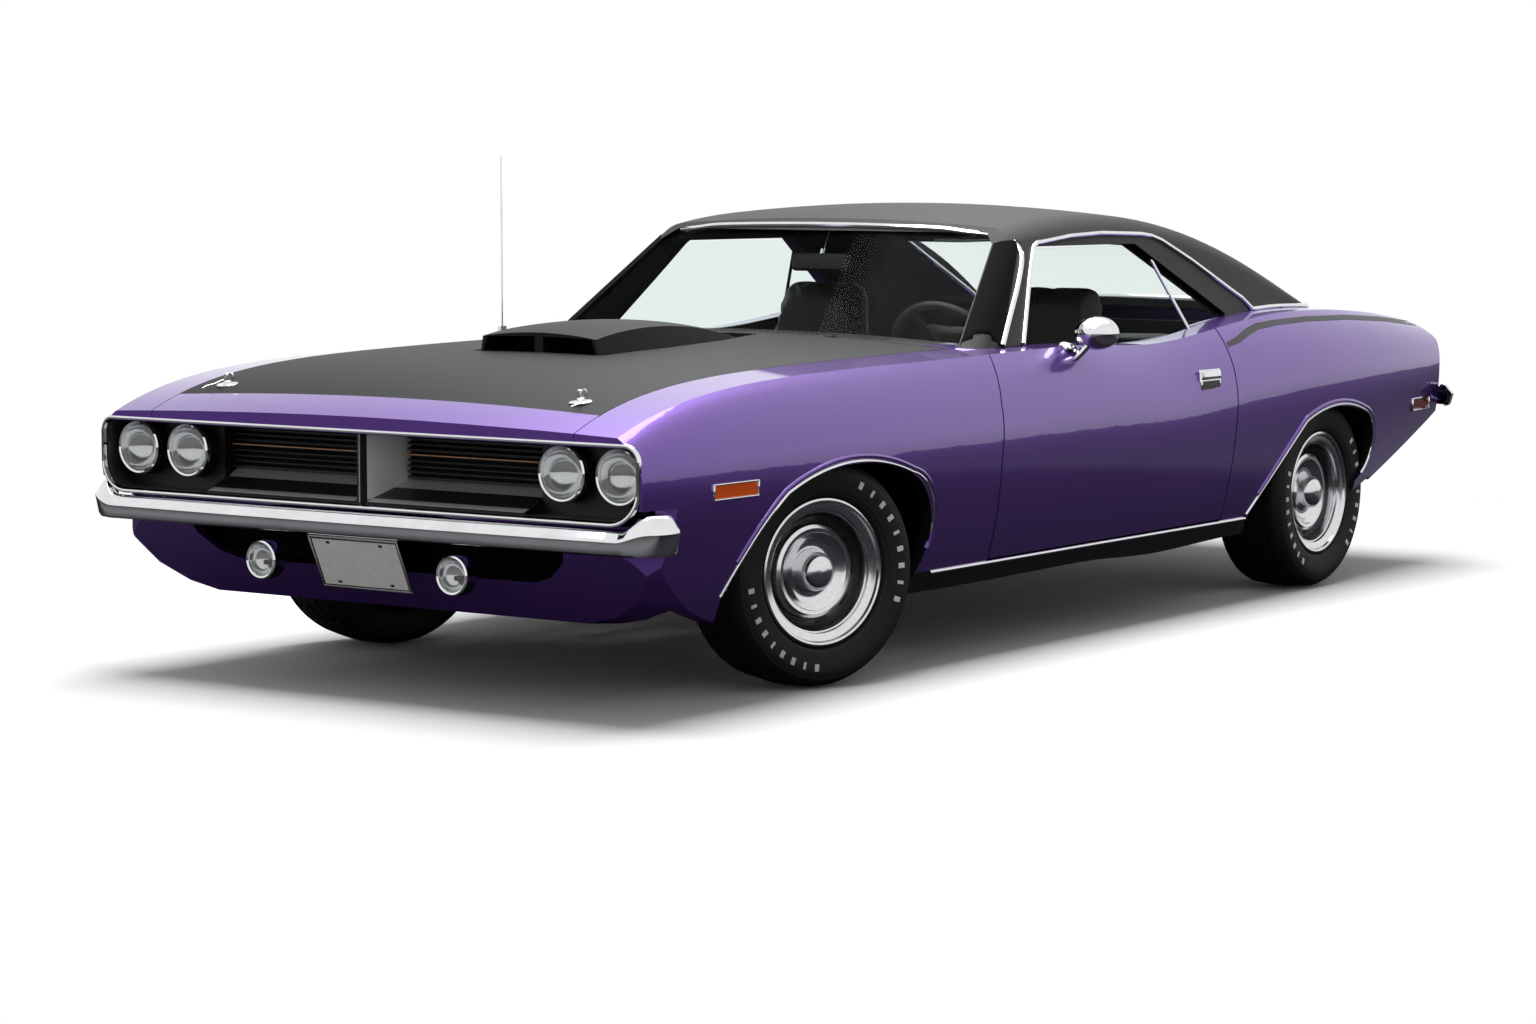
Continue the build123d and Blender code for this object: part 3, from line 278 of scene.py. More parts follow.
# Painted casting: warm brown with a sandy skin
iron = plain("painted_cast_iron", "#3a2a22", roughness=0.6, grain=4.0, bump=0.3)
# Tyre rubber: matt, a little grey where light grazes it
rubber = plain("tyre_rubber", "#121213", roughness=0.62, grain=2.0, bump=0.12, Specular_IOR_Level=0.3)
# Silver wheel enamel: metallic, softer than plating
wheel_metal = plain("argent_wheel_enamel", "#b9babc", metallic=0.9, roughness=0.22, grain=8.0)

# Nodes with a finish of their own: two colours, or a lining on their inner faces
DARK_LINING = "#0b0b0c"
ROOF_VINYL = {"code": "#1c1c1e", "roughness": 0.60, "grain": 3.0, "bump": 0.15, "Specular_IOR_Level": 0.28}
NODE_FINISH = {
    "hood": hood_enamel, "cowl": cowl_enamel, "tail_panel": matt_black,
    "roof": lined("grained_vinyl_roof_with_headlining", (-0.4, 0.0, 0.75), DARK_LINING, ROOF_VINYL),
    "rear_deck": lined("enamel_with_black_shelf_edge", (-0.8, 0.0, 0.70), DARK_LINING),
}
for side, label in SIDES:
    NODE_FINISH["door_" + label] = lined("enamel_with_door_trim_" + label, (-0.2, 0.0, 0.80), "#101011")
    NODE_FINISH["fender_" + label] = lined("enamel_with_undercoat_front_" + label,
                                           (AXLE_X, side * 0.70, HUB_Z), DARK_LINING)
    NODE_FINISH["quarter_" + label] = lined("enamel_with_undercoat_rear_" + label,
                                            (-AXLE_X, 0.0, HUB_Z), DARK_LINING)
SLOT_FINISH = {
    "body_paint": paint, "hood_paint": matt_black, "roof_vinyl": vinyl, "bright_trim": chrome,
    "clear_glass": glass, "lamp_glass": lamp_glass, "amber_lens": amber, "red_lens": red,
    "grille_black": satin_black_and_painted_shade, "plate_enamel": plate, "seat_trim": seat_vinyl,
    "cabin_plastic": cabin_plastic, "floor_steel": undercoat, "chassis_steel": undercoat,
    "engine_iron": iron, "tyre_rubber": rubber, "wheel_steel": wheel_metal,
}


def smooth_group(limit_deg):
    """Joins a node's loose triangles and shades it smooth, with edges sharper than the limit left crisp."""
    tree = bpy.data.node_groups.new("joined_smooth_faces", "GeometryNodeTree")
    for way in ("INPUT", "OUTPUT"):
        tree.interface.new_socket("Geometry", in_out=way, socket_type="NodeSocketGeometry")
    start = tree.nodes.new("NodeGroupInput").outputs[0]
    joined = add(tree, "GeometryNodeMergeByDistance", Geometry=start, Distance=0.00002)
    soft = add(tree, "GeometryNodeSetShadeSmooth", {"domain": "FACE"}, Geometry=joined.outputs[0],
               Shade_Smooth=True)
    angle = add(tree, "GeometryNodeInputMeshEdgeAngle").outputs["Unsigned Angle"]
    sharp = add(tree, "FunctionNodeCompare", {"data_type": "FLOAT", "operation": "GREATER_THAN"},
                A=angle, B=radians(limit_deg))
    crisp = add(tree, "GeometryNodeSetShadeSmooth", {"domain": "EDGE"}, Geometry=soft.outputs[0],
                Selection=sharp.outputs[0], Shade_Smooth=False)
    end = tree.nodes.new("NodeGroupOutput")
    tree.links.new(crisp.outputs[0], end.inputs[0])
    return tree


smooth_faces = smooth_group(24.0)
slot_of = {sub["node"]: sub["material_slot"] for sub in frame["record"]["subparts"]}
for name, obj in NODES.items():
    obj.data.materials.clear()
    obj.data.materials.append(NODE_FINISH.get(name) or SLOT_FINISH[slot_of[name]])
    obj.modifiers.new("smooth", "NODES").node_group = smooth_faces


def finished(bm, name, look, body, slot, *nodes, crisp=32.0):
    """The bmesh as a piece that rides on a body and stands for the CAD nodes named."""
    bmesh.ops.remove_doubles(bm, verts=bm.verts, dist=0.000005)
    bmesh.ops.recalc_face_normals(bm, faces=bm.faces)
    mesh = bpy.data.meshes.new(name)
    bm.to_mesh(mesh)
    bm.free()
    mesh.materials.append(look)
    mesh.shade_smooth()
    mesh.set_sharp_from_angle(angle=radians(crisp))
    obj = bpy.data.objects.new(name, mesh)
    bpy.context.scene.collection.objects.link(obj)
    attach(obj, body)
    if nodes:
        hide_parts(*nodes)
    return obj


def spun(bm, profile, place, steps=96):
    """A lathe shape: profile points of radius and height turned about local Z, then put in place."""
    before = set(bm.verts)
    verts = [bm.verts.new((r, 0, h)) for r, h in profile]
    edges = [bm.edges.new(pair) for pair in zip(verts, verts[1:])]
    bmesh.ops.spin(bm, geom=verts + edges, cent=(0, 0, 0), axis=(0, 0, 1), dvec=(0, 0, 0), angle=2 * pi,
                   steps=steps, use_merge=True, use_duplicate=False)
    bmesh.ops.transform(bm, matrix=place, verts=[v for v in bm.verts if v not in before])


def cuboid(bm, place, size, edge=0.0, segments=2):
    """A box of that size, centred on a place, with rounded edges."""
    before = set(bm.verts)
    corners = bmesh.ops.create_cube(bm, size=1.0)["verts"]
    bmesh.ops.scale(bm, vec=size, verts=corners)
    if edge:
        edges = [e for e in bm.edges if e.verts[0] not in before]
        bmesh.ops.bevel(bm, geom=edges, offset=edge, offset_type="OFFSET", segments=segments, profile=0.5,
                        affect="EDGES", material=-1)
    bmesh.ops.transform(bm, matrix=place, verts=[v for v in bm.verts if v not in before])


def tube(name, points, radius, look, body, slot, closed=False):
    """A drawn strip: a round section that follows the points."""
    curve = bpy.data.curves.new(name, "CURVE")
    curve.dimensions = "3D"
    curve.bevel_depth = radius
    curve.bevel_resolution = 3
    line = curve.splines.new("POLY")
    line.points.add(len(points) - 1)
    for target, point in zip(line.points, points):
        target.co = (*point, 1.0)
    line.use_cyclic_u = closed
    curve.use_fill_caps = True
    helper = bpy.data.objects.new(name, curve)
    bpy.context.scene.collection.objects.link(helper)
    bpy.context.view_layer.update()
    mesh = bpy.data.meshes.new_from_object(helper.evaluated_get(bpy.context.evaluated_depsgraph_get()))
    bpy.data.objects.remove(helper)
    bm = bmesh.new()
    bm.from_mesh(mesh)
    bpy.data.meshes.remove(mesh)
    return finished(bm, name, look, body, slot)


def bright_strip(name, points, radius, body="body", closed=False):
    """A chromed strip along the points."""
    return tube(name, points, radius, chrome, body, "bright_trim", closed)


def at(*place):
    """A move to a place."""
    return Matrix.Translation(place)


def turn(axis, degrees):
    """A turn about an axis through the origin."""
    return Matrix.Rotation(radians(degrees), 4, axis)


def surface(*names):
    """A search tree over the triangles of CAD nodes."""
    verts, faces = [], []
    for name in names:
        mesh = NODES[name].data
        start = len(verts)
        verts += [v.co.copy() for v in mesh.vertices]
        faces += [[start + i for i in p.vertices] for p in mesh.polygons]
    return BVHTree.FromPolygons(verts, faces)


def seen_from(tree, points, way, lift=0.0):
    """Where lines along a direction meet the surface; lift stands the points off it."""
    way = Vector(way)
    hits = [tree.ray_cast(Vector(point), way)[0] for point in points]
    return [hit - way * lift for hit in hits if hit is not None]


def seen_from_side(tree, side, places, lift=0.0):
    """Where level lines from beside the car meet the surface, for places of x and z."""
    return seen_from(tree, [(x, side * BESIDE, z) for x, z in places], (0, -side, 0), lift)


def seen_from_above(tree, places, lift=0.0):
    """Where upright lines meet the surface, for places of x and y."""
    return seen_from(tree, [(x, y, ABOVE) for x, y in places], (0, 0, -1), lift)


def seen_from_behind(tree, places, lift=0.0):
    """Where level lines from behind the car meet the surface, for places of y and z."""
    return seen_from(tree, [(BEHIND, y, z) for y, z in places], (1, 0, 0), lift)


def settled(tree, points, lift=0.0):
    """The nearest places on the surface; lift stands the points off it."""
    rests = [tree.find_nearest(Vector(point)) for point in points]
    return [place + normal * lift for place, normal, _, _ in rests]


def eased(points, rounds=6):
    """The line with its small jogs evened out; its ends stay."""
    for _ in range(rounds):
        inner = [(a + 2 * b + c) / 4 for a, b, c in zip(points, points[1:], points[2:])]
        points = [points[0], *inner, points[-1]]
    return points


def between(points, step=0.02):
    """Points along straight runs, about a step apart."""
    dense = []
    for a, b in zip(points, points[1:]):
        a, b = Vector(a), Vector(b)
        count = max(1, int((b - a).length / step))
        dense += [a.lerp(b, i / count) for i in range(count)]
    return dense + [Vector(points[-1])]


def arc_through(a, b, c, count=24):
    """Points on the circle through three places in a plane of two coordinates."""
    ax, az, bx, bz, cx, cz = *a, *b, *c
    d = 2 * (ax * (bz - cz) + bx * (cz - az) + cx * (az - bz))
    ux = ((ax**2 + az**2) * (bz - cz) + (bx**2 + bz**2) * (cz - az) + (cx**2 + cz**2) * (az - bz)) / d
    uz = ((ax**2 + az**2) * (cx - bx) + (bx**2 + bz**2) * (ax - cx) + (cx**2 + cz**2) * (bx - ax)) / d
    start, middle, end = [Vector((x - ux, z - uz)) for x, z in (a, b, c)]
    sweep = start.angle_signed(middle) + middle.angle_signed(end)
    spokes = [Matrix.Rotation(-sweep * i / count, 3, "Z") @ start.to_3d() for i in range(count + 1)]
    return [(ux + spoke.x, uz + spoke.y) for spoke in spokes]


def swept(bm, sections, closed=False):
    """A skin over sections of equal length: a line of edges is extruded from one section to the next."""
    verts = [bm.verts.new(p) for p in sections[0]]
    pairs = list(zip(verts, verts[1:])) + ([(verts[-1], verts[0])] if closed else [])
    edges = [bm.edges.new(pair) for pair in pairs]
    for section in sections[1:]:
        grown = bmesh.ops.extrude_edge_only(bm, edges=edges)["geom"]
        fresh = [g for g in grown if isinstance(g, bmesh.types.BMVert)]
        old_of = {}
        for vert in fresh:
            for edge in vert.link_edges:
                other = edge.other_vert(vert)
                if other in verts:
                    old_of[other] = vert
        verts = [old_of[v] for v in verts]
        for vert, place in zip(verts, section):
            vert.co = place
        edges = [e for e in grown if isinstance(e, bmesh.types.BMEdge)]


def rim_bars(across, up, wide, high, bar):
    """The four bars of an upright rim: the middle of each across and up, then its size across and up."""
    return [(0, s * up, wide, bar) for s in (1, -1)] + [(s * across, 0, bar, high) for s in (1, -1)]


# Wheels: places, and sections as radius and height out from the middle plane
KINGPIN_Y = 0.705
KINGPIN_INSET = 0.04
STEER_REST = -18.0
REAR_HUB_Y = 0.76
TREAD = ((0.2990, 0.097), (0.3035, 0.088), (0.3050, 0.066), (0.2990, 0.065), (0.2990, 0.057), (0.3063, 0.056),
         (0.3085, 0.026), (0.3025, 0.025), (0.3025, 0.017), (0.3090, 0.016), (0.3099, 0.001))
SIDEWALL = ((0.1845, 0.086), (0.1960, 0.093), (0.2030, 0.100), (0.2050, 0.108), (0.2110, 0.1125),
            (0.2160, 0.1130), (0.2180, 0.1155), (0.2300, 0.1180), (0.2450, 0.1205), (0.2620, 0.1215),
            (0.2750, 0.1195), (0.2800, 0.1165), (0.2830, 0.1165), (0.2890, 0.1110), (0.2945, 0.1050))
TRIM_RING = ((0.1850, 0.088), (0.1975, 0.091), (0.1990, 0.099), (0.1970, 0.105), (0.1920, 0.107),
             (0.1870, 0.105), (0.1835, 0.0985), (0.1780, 0.0965), (0.1690, 0.0945), (0.1640, 0.091),
             (0.1620, 0.084), (0.1585, 0.0825), (0.1570, 0.072), (0.1560, 0.054))
BOWL = ((0.1565, 0.060), (0.1500, 0.046), (0.1420, 0.039), (0.1340, 0.037), (0.1260, 0.040))
HUB_CAP = ((0.1300, 0.036), (0.1285, 0.054), (0.1240, 0.063), (0.1150, 0.068), (0.1060, 0.0665),
           (0.1010, 0.061), (0.0960, 0.0595), (0.0880, 0.052), (0.0740, 0.0465), (0.0620, 0.048),
           (0.0560, 0.058), (0.0530, 0.074), (0.0480, 0.089), (0.0380, 0.0990), (0.0200, 0.1045),
           (0.0004, 0.1055))
BARREL = ((0.1850, 0.088), (0.1770, 0.070), (0.1740, 0.020), (0.1740, -0.070), (0.1800, -0.088),
          (0.1955, -0.099))

# Tread: steps round the tyre, every how many a rib is cut, what counts as rib, and the cut
TREAD_STEPS = 144
CUT_EVERY = 4
RIB_RADIUS, RIB_HALF_WIDTH = 0.3028, 0.094
CUT_INSET, CUT_DEPTH = 0.0016, 0.005

# Sidewall bars: first angle and step of each arc, bars in an arc, and where they lie
BAR_ARCS = ((160, 10.4), (7, 9.4))
BAR_COUNT = 9
BAR_RADIUS, BAR_OUT = 0.2520, 0.1205
SLOT_COUNT = 10


def wheel_frame(front, side):
    """Local Z runs out along the axle."""
    if front:
        pin = at(AXLE_X, side * KINGPIN_Y, HUB_Z) @ turn("Z", STEER_REST)
        return pin @ at(0, side * KINGPIN_INSET, 0) @ turn("X", -90 * side)
    return at(-AXLE_X, side * REAR_HUB_Y, HUB_Z) @ turn("X", -90 * side)


def tyre(name, place):
    """Rubber tyre: moulded sidewall rings, four grooves and cross cuts in the tread."""
    bm = bmesh.new()
    half = SIDEWALL + TREAD
    spun(bm, [*half, *[(r, -h) for r, h in reversed(half)]], Matrix.Identity(4), TREAD_STEPS)
    ribs = []
    for face in bm.faces:
        middle = face.calc_center_median()
        step = int((middle.to_2d().angle_signed(Vector((1, 0))) + pi) / (2 * pi / TREAD_STEPS))
        on_rib = middle.to_2d().length > RIB_RADIUS and abs(middle.z) < RIB_HALF_WIDTH
        if on_rib and step % CUT_EVERY == 0:
            ribs.append(face)
    bmesh.ops.inset_individual(bm, faces=ribs, thickness=CUT_INSET, depth=-CUT_DEPTH)
    bmesh.ops.transform(bm, matrix=place, verts=bm.verts)
    finished(bm, "tyre_rubber_" + name, rubber, "wheel_" + name, "tyre_rubber", "tyre_" + name)


def tyre_marks(name, place, start):
    """Two arcs of plain raised white bars on the sidewall, with no lettering."""
    bm = bmesh.new()
    for first, step in BAR_ARCS:
        for i in range(BAR_COUNT):
            spot = turn("Z", first + start + step * i) @ at(BAR_RADIUS, 0, BAR_OUT) @ turn("Y", -3)
            cuboid(bm, place @ spot, (0.020, 0.009 if i % 3 == 1 else 0.014, 0.0035), 0.001, 1)
    finished(bm, "sidewall_bars_" + name, white_rubber, "wheel_" + name, "tyre_rubber")


def wheel_disc(name, place):
    """Pressed steel wheel: bright stepped trim ring and cap round a grey bowl, its slots drawn as black marks
    of painted shade.
    """
    body = "wheel_" + name
    bm = bmesh.new()
    spun(bm, TRIM_RING, place)
    spun(bm, BARREL, place)
    finished(bm, "trim_ring_" + name, wheel_bright, body, "wheel_steel", "rim_" + name)
    bm = bmesh.new()
    spun(bm, BOWL, place)
    finished(bm, "wheel_bowl_" + name, bowl_grey, body, "wheel_steel")
    bm = bmesh.new()
    spun(bm, HUB_CAP, place)
    finished(bm, "hub_cap_" + name, wheel_bright, body, "wheel_steel")
    # Slots as satin-black marks on the bowl: painted shade for the openings
    bm = bmesh.new()
    for k in range(SLOT_COUNT):
        spot = turn("Z", 360 / SLOT_COUNT * k) @ at(0.1425, 0, 0.040)
        cuboid(bm, place @ spot, (0.013, 0.040, 0.006), 0.0025)
    finished(bm, "wheel_slot_painted_shade_" + name, satin_black_and_painted_shade, body, "wheel_steel")


# Name, whether it steers, side, and how far round its bars stand
for name, front, side, start in (("front_left", True, 1, 0), ("front_right", True, -1, 40),
                                 ("rear_left", False, 1, -25), ("rear_right", False, -1, 90)):
    spot = wheel_frame(front, side)
    tyre(name, spot)
    tyre_marks(name, spot, start)
    wheel_disc(name, spot)

# Bright strips: the left half of the screen's edge, the drip rail in side view, and the arches
SCREEN_EDGE = ((0.432, 0.774, 0.862), (0.346, 0.741, 0.933), (0.244, 0.706, 1.015), (0.140, 0.664, 1.112),
               (0.128, 0.655, 1.134), (0.132, 0.645, 1.150), (0.145, 0.628, 1.162), (0.158, 0.600, 1.169),
               (0.174, 0.434, 1.184), (0.180, 0.083, 1.191), (0.180, 0.0, 1.191))
SIDE_EDGE = ((0.330, 0.852), (0.085, 1.122), (0.070, 1.136), (0.045, 1.146), (-0.010, 1.151),
             (-0.154, 1.163), (-0.340, 1.168), (-0.589, 1.160), (-0.650, 1.153), (-0.702, 1.139),
             (-0.852, 1.074), (-1.052, 0.974), (-1.110, 0.947))
FRONT_ARCH = ((1.965, 0.300), (1.880, 0.425), (1.740, 0.545), (1.440, 0.604), (1.165, 0.560),
              (1.042, 0.400), (1.110, 0.290))
REAR_ARCH = ((-0.835, 0.285), (-0.975, 0.410), (-1.160, 0.554), (-1.375, 0.594), (-1.600, 0.560),
             (-1.672, 0.470), (-1.620, 0.350))
ARCH_MIDDLE_Z = 0.33

# Inner edge of the front pillar, as y and z at foot and head, and the cells of the seal band on it, laid wide
# so that its black paints the pillar's dark reflection
PILLAR_FOOT, PILLAR_HEAD = (0.719, 0.866), (0.604, 1.146)
SEAL_ROWS, SEAL_CELLS = 24, 12

# The rear pillar's foot: where the strip starts, its steps back, and the lowest place across
REAR_FOOT_X, REAR_FOOT_STEP, REAR_FOOT_STEPS, REAR_FOOT_Y = -1.150, 0.02, 27, 0.64
FOOT_TRIES, FOOT_LOW, FOOT_RISE = 120, 0.80, 0.002
DIVIDER = ((-0.600, 1.120), (-0.690, 0.862))
SILL_RUN = ((1.000, 0.2725), (-0.825, 0.2725))

# Radii of the strips
SCREEN_R, REAR_WINDOW_R, DRIP_R, DIVIDER_R, SILL_R = 0.0085, 0.0075, 0.0075, 0.0055, 0.0065

roof_skin = surface("roof")


def windscreen_trim():
    """Bright moulding round the screen, and on each front pillar a black seal band, wider than a seal, whose
    black is a painted dark reflection.
    """
    right = [(x, -y, z) for x, y, z in reversed(SCREEN_EDGE[:-1])]
    line = eased(settled(roof_skin, between([*SCREEN_EDGE, *right]), 0.003))
    bright_strip("windscreen_moulding", line, SCREEN_R)
    for side, label in SIDES:
        inner = [(BEFORE_SCREEN, side * y, z) for y, z in (PILLAR_FOOT, PILLAR_HEAD)]
        low, high = seen_from(roof_skin, inner, (-1, 0, 0))
        foot, head = [Vector((x, side * y, z)) for x, y, z in (SCREEN_EDGE[0], SCREEN_EDGE[5])]
        rows = [(low.lerp(high, k / SEAL_ROWS), foot.lerp(head, k / SEAL_ROWS)) for k in range(SEAL_ROWS + 1)]
        bands = [[a.lerp(b, k / SEAL_CELLS) for k in range(SEAL_CELLS + 1)] for a, b in rows]
        # A black band from the screen's edge to the pillar's inner edge: a seal, and over the pillar a
        # painted dark reflection
        bm = bmesh.new()
        swept(bm, [settled(roof_skin, band, 0.0025) for band in bands])
        finished(bm, "screen_seal_painted_dark_band_" + label, black_seal_and_painted_shade, "body", "roof_vinyl", crisp=180.0)


def rear_window_trim():
    """Bright moulding round the rear window."""
    corners = NODES["rear_window"].data.vertices
    rim = [corners[i].co.copy() for i in convex_hull_2d([v.co.to_2d() for v in corners])]
    line = settled(surface("roof", "rear_deck"), between([*rim, rim[0]])[:-1], 0.003)
    bright_strip("rear_window_moulding", line, REAR_WINDOW_R, closed=True)


def pillar_foot(panel, x, side):
    """The lowest place, seen from the side, where the rear pillar stands clear of the quarter panel."""
    for k in range(FOOT_TRIES):
        start = [(x, FOOT_LOW + FOOT_RISE * k)]
        foot = seen_from_side(roof_skin, side, start)
        if foot and side * foot[0].y > REAR_FOOT_Y and not seen_from_side(panel, side, start):
            return foot[0]
    return None


def side_window_trim(side, label, panel):
    """Drip rail with the strip along the rear pillar's foot, and the bar between the panes."""
    line = seen_from_side(roof_skin, side, between(SIDE_EDGE, 0.015), 0.002)
    feet = [pillar_foot(panel, REAR_FOOT_X - REAR_FOOT_STEP * i, side) for i in range(REAR_FOOT_STEPS)]
    line += eased([foot + Vector((0, side * 0.003, 0.004)) for foot in feet if foot])
    bright_strip("drip_moulding_" + label, line, DRIP_R)
    panes = surface("door_glass_" + label, "quarter_glass")
    line = seen_from_side(panes, side, between(DIVIDER), 0.001)
    bright_strip("quarter_glass_divider_" + label, line, DIVIDER_R)


def arch_trim(part, arch, side, label, panel):
    """Bright lip on the edge of a wheel arch, and the rolled enamel behind it."""
    a, b, c, d, e, f, g = arch
    path = [Vector(p) for p in arc_through(a, b, c) + arc_through(c, d, e)[1:] + arc_through(e, f, g)[1:]]
    middle = Vector((sum(p.x for p in path) / len(path), ARCH_MIDDLE_Z))
    # Piece, how far out from the edge, lift, least |y|, radius, finish and slot
    for piece, out, lift, least_y, radius, look, slot in (
            ("lip", 0.005, 0.0, 0.80, 0.0045, chrome, "bright_trim"),
            ("roll", 0.017, -0.004, 0.905, 0.009, paint, "body_paint")):
        grown = [p + (p - middle).normalized() * out for p in path]
        line = [h for h in seen_from_side(panel, side, grown, lift) if abs(h.y) > least_y]
        tube(f"{part}_arch_{piece}_{label}", line, radius, look, "body", slot)


windscreen_trim()
rear_window_trim()
for side, label in SIDES:
    body_side = surface("fender_" + label, "quarter_" + label)
    side_window_trim(side, label, body_side)
    arch_trim("front", FRONT_ARCH, side, label, body_side)
    arch_trim("rear", REAR_ARCH, side, label, body_side)
    sill = seen_from_side(surface("rocker_panels"), side, between(SILL_RUN, 0.03))
    bright_strip("sill_strip_" + label, sill, SILL_R)

# Nose: the mouth's outline, and how far forward the nose reaches
MOUTH_HALF = 0.899
MOUTH_LOW, MOUTH_TOP = 0.514, 0.699
MOUTH_LOW_R, MOUTH_TOP_R = 0.080, 0.034
MOUTH_MIDDLE_Z = 0.6
NOSE_X = 2.346
NOSE_TURN_Y = 0.86

# Surround: growth of the outline and step forward of each ring; depths of the lining
SURROUND = ((0.001, -0.060), (0.0005, -0.002), (0.002, 0.0025), (0.006, 0.0035), (0.010, 0.002),
            (0.012, -0.004))
LINING_DEPTHS = (-0.012, -0.080, -0.165)

# Grille: its halves across, slats and pinstripes by height
GRILLE_OUTER_Y = 0.538
SLAT_INNER_Y, PINSTRIPE_INNER_Y = 0.068, 0.062
SLAT_COUNT, SLAT_Z, SLAT_STEP, SLAT_X = 9, 0.568, 0.0145, 2.206
PINSTRIPE_X, PINSTRIPE_HEIGHTS = 2.2185, (0.640, 0.5585)


def mouth_line(grow):
    """The mouth's outline in front view, y and z, grown outwards."""
    line = []
    half, low, top = MOUTH_HALF + grow, MOUTH_LOW - grow, MOUTH_TOP + grow
    for y, z, r, first in ((half, top, MOUTH_TOP_R, 0), (-half, top, MOUTH_TOP_R, 90),
                           (-half, low, MOUTH_LOW_R, 180), (half, low, MOUTH_LOW_R, 270)):
        r += grow
        cy = y - r * (1 if y > 0 else -1)
        cz = z - r * (1 if z > MOUTH_MIDDLE_Z else -1)
        angles = [radians(first + 7.5 * i) for i in range(13)]
        line += [(cy + r * cos(angle), cz + r * sin(angle)) for angle in angles]
    return [tuple(p) for p in between(line + line[:1], 0.03)[:-1]]


def nose_x(y):
    """How far forward the nose reaches at that place across the car."""
    over = max(0.0, abs(y) - NOSE_TURN_Y)
    return NOSE_X - 0.005 * (y / 0.88) ** 2 - 2.6 * over**2


def mouth():
    """Bright surround of the mouth, and the dark lining behind it."""
    bm = bmesh.new()
    swept(bm, [[(nose_x(y) + dx, y, z) for y, z in mouth_line(grow)] for grow, dx in SURROUND], closed=True)
    finished(bm, "mouth_surround", chrome, "body", "bright_trim")
    bm = bmesh.new()
    inner = mouth_line(-0.002)
    swept(bm, [[(nose_x(y) + dx, y, z) for y, z in inner] for dx in LINING_DEPTHS], closed=True)
    finished(bm, "mouth_lining", grille_dark, "body", "grille_black")


def half_bars(bm, x, z, inner_y, size, edge, lean=0.0):
    """One bar in each half of the grille."""
    middle, length = (inner_y + GRILLE_OUTER_Y) / 2, GRILLE_OUTER_Y - inner_y
    for side in (-1, 1):
        cuboid(bm, at(x, side * middle, z) @ turn("Y", lean), (size[0], length, size[1]), edge, 1)


def grille():
    """Leaning slats, two pinstripes, and the shelf and divider in silver grey."""
    bm = bmesh.new()
    for i in range(SLAT_COUNT):
        half_bars(bm, SLAT_X, SLAT_Z + SLAT_STEP * i, SLAT_INNER_Y, (0.020, 0.0045), 0.0012, 18)
    finished(bm, "grille_slats", grille_dark, "body", "grille_black")
    bm = bmesh.new()
    for z in PINSTRIPE_HEIGHTS:
        half_bars(bm, PINSTRIPE_X, z, PINSTRIPE_INNER_Y, (0.003, 0.0032), 0.0008)
    finished(bm, "grille_pinstripes", copper, "body", "grille_black")
    bm = bmesh.new()
    for side in (1, -1):
        swept(bm, [[(2.320, side * y, 0.5215), (2.262, side * y, 0.541), (2.200, side * y, 0.5775)]
                   for y in (0.020, 0.535)])
        swept(bm, [[(2.196, side * 0.066, z), (2.290, side * 0.024, z), (2.3285, side * 0.0015, z)]
                   for z in (0.520, 0.697)])
    finished(bm, "grille_shelf", argent_grey, "body", "grille_black")


mouth()
grille()

# Blade bumpers: plan of the face, and section as step back from the face and height
FRONT_PLAN = ((2.374, 0.0), (2.362, 0.850), (2.338, 0.934), (2.228, 0.956))
FRONT_SECTION = ((0.026, 0.431), (0.014, 0.4330), (0.0085, 0.4385), (0.000, 0.468), (0.0015, 0.4725),
                 (0.006, 0.4765), (0.018, 0.4890), (0.024, 0.4945), (0.032, 0.497), (0.042, 0.494))
REAR_PLAN = ((-2.370, 0.0), (-2.344, 0.810), (-2.308, 0.906), (-2.235, 0.940))
FRONT_FOOT_Z, REAR_FOOT_Z, REAR_HEIGHT_SHARE = 0.434, 0.548, 0.875
REAR_SECTION = [(back, REAR_FOOT_Z + REAR_HEIGHT_SHARE * (z - FRONT_FOOT_Z)) for back, z in FRONT_SECTION]
TIP_START, TIP_END = 0.850, 0.938
FRONT_TIP_RISE, REAR_TIP_RISE = 0.037, 0.018
BLADE_SHEET = 0.003
IRON_Y = 0.42


def bumper(name, plan, section, node, tip_rise, way):
    """A pressed and plated blade: face that leans in, sloping top and tips that turn up."""
    mid, corner, shoulder, end = plan
    face = arc_through((-corner[1], corner[0]), (0.0, mid[0]), (corner[1], corner[0]), 40)
    bend = arc_through(corner, shoulder, end, 18)[1:]
    line = [(x, -y) for x, y in reversed(bend)] + [(x, y) for y, x in face] + bend
    low, high = section[0][1], section[-2][1]
    sections = []
    for i, (x, y) in enumerate(line):
        before, after = line[max(i - 1, 0)], line[min(i + 1, len(line) - 1)]
        along = Vector((after[0] - before[0], after[1] - before[1])).normalized()
        inward = Vector((-along.y, along.x)) * way
        t = min(1.0, max(0.0, (abs(y) - TIP_START) / (TIP_END - TIP_START)))
        lift = tip_rise * t * t * (3 - 2 * t)
        sections.append([(x + inward.x * back, y + inward.y * back, z + lift * (z - low) / (high - low))
                         for back, z in section])
    bm = bmesh.new()
    swept(bm, sections)
    obj = finished(bm, name, chrome, "body", "bright_trim", node, crisp=40.0)
    shell = obj.modifiers.new("sheet", "SOLIDIFY")
    shell.thickness = BLADE_SHEET
    shell.offset = -1


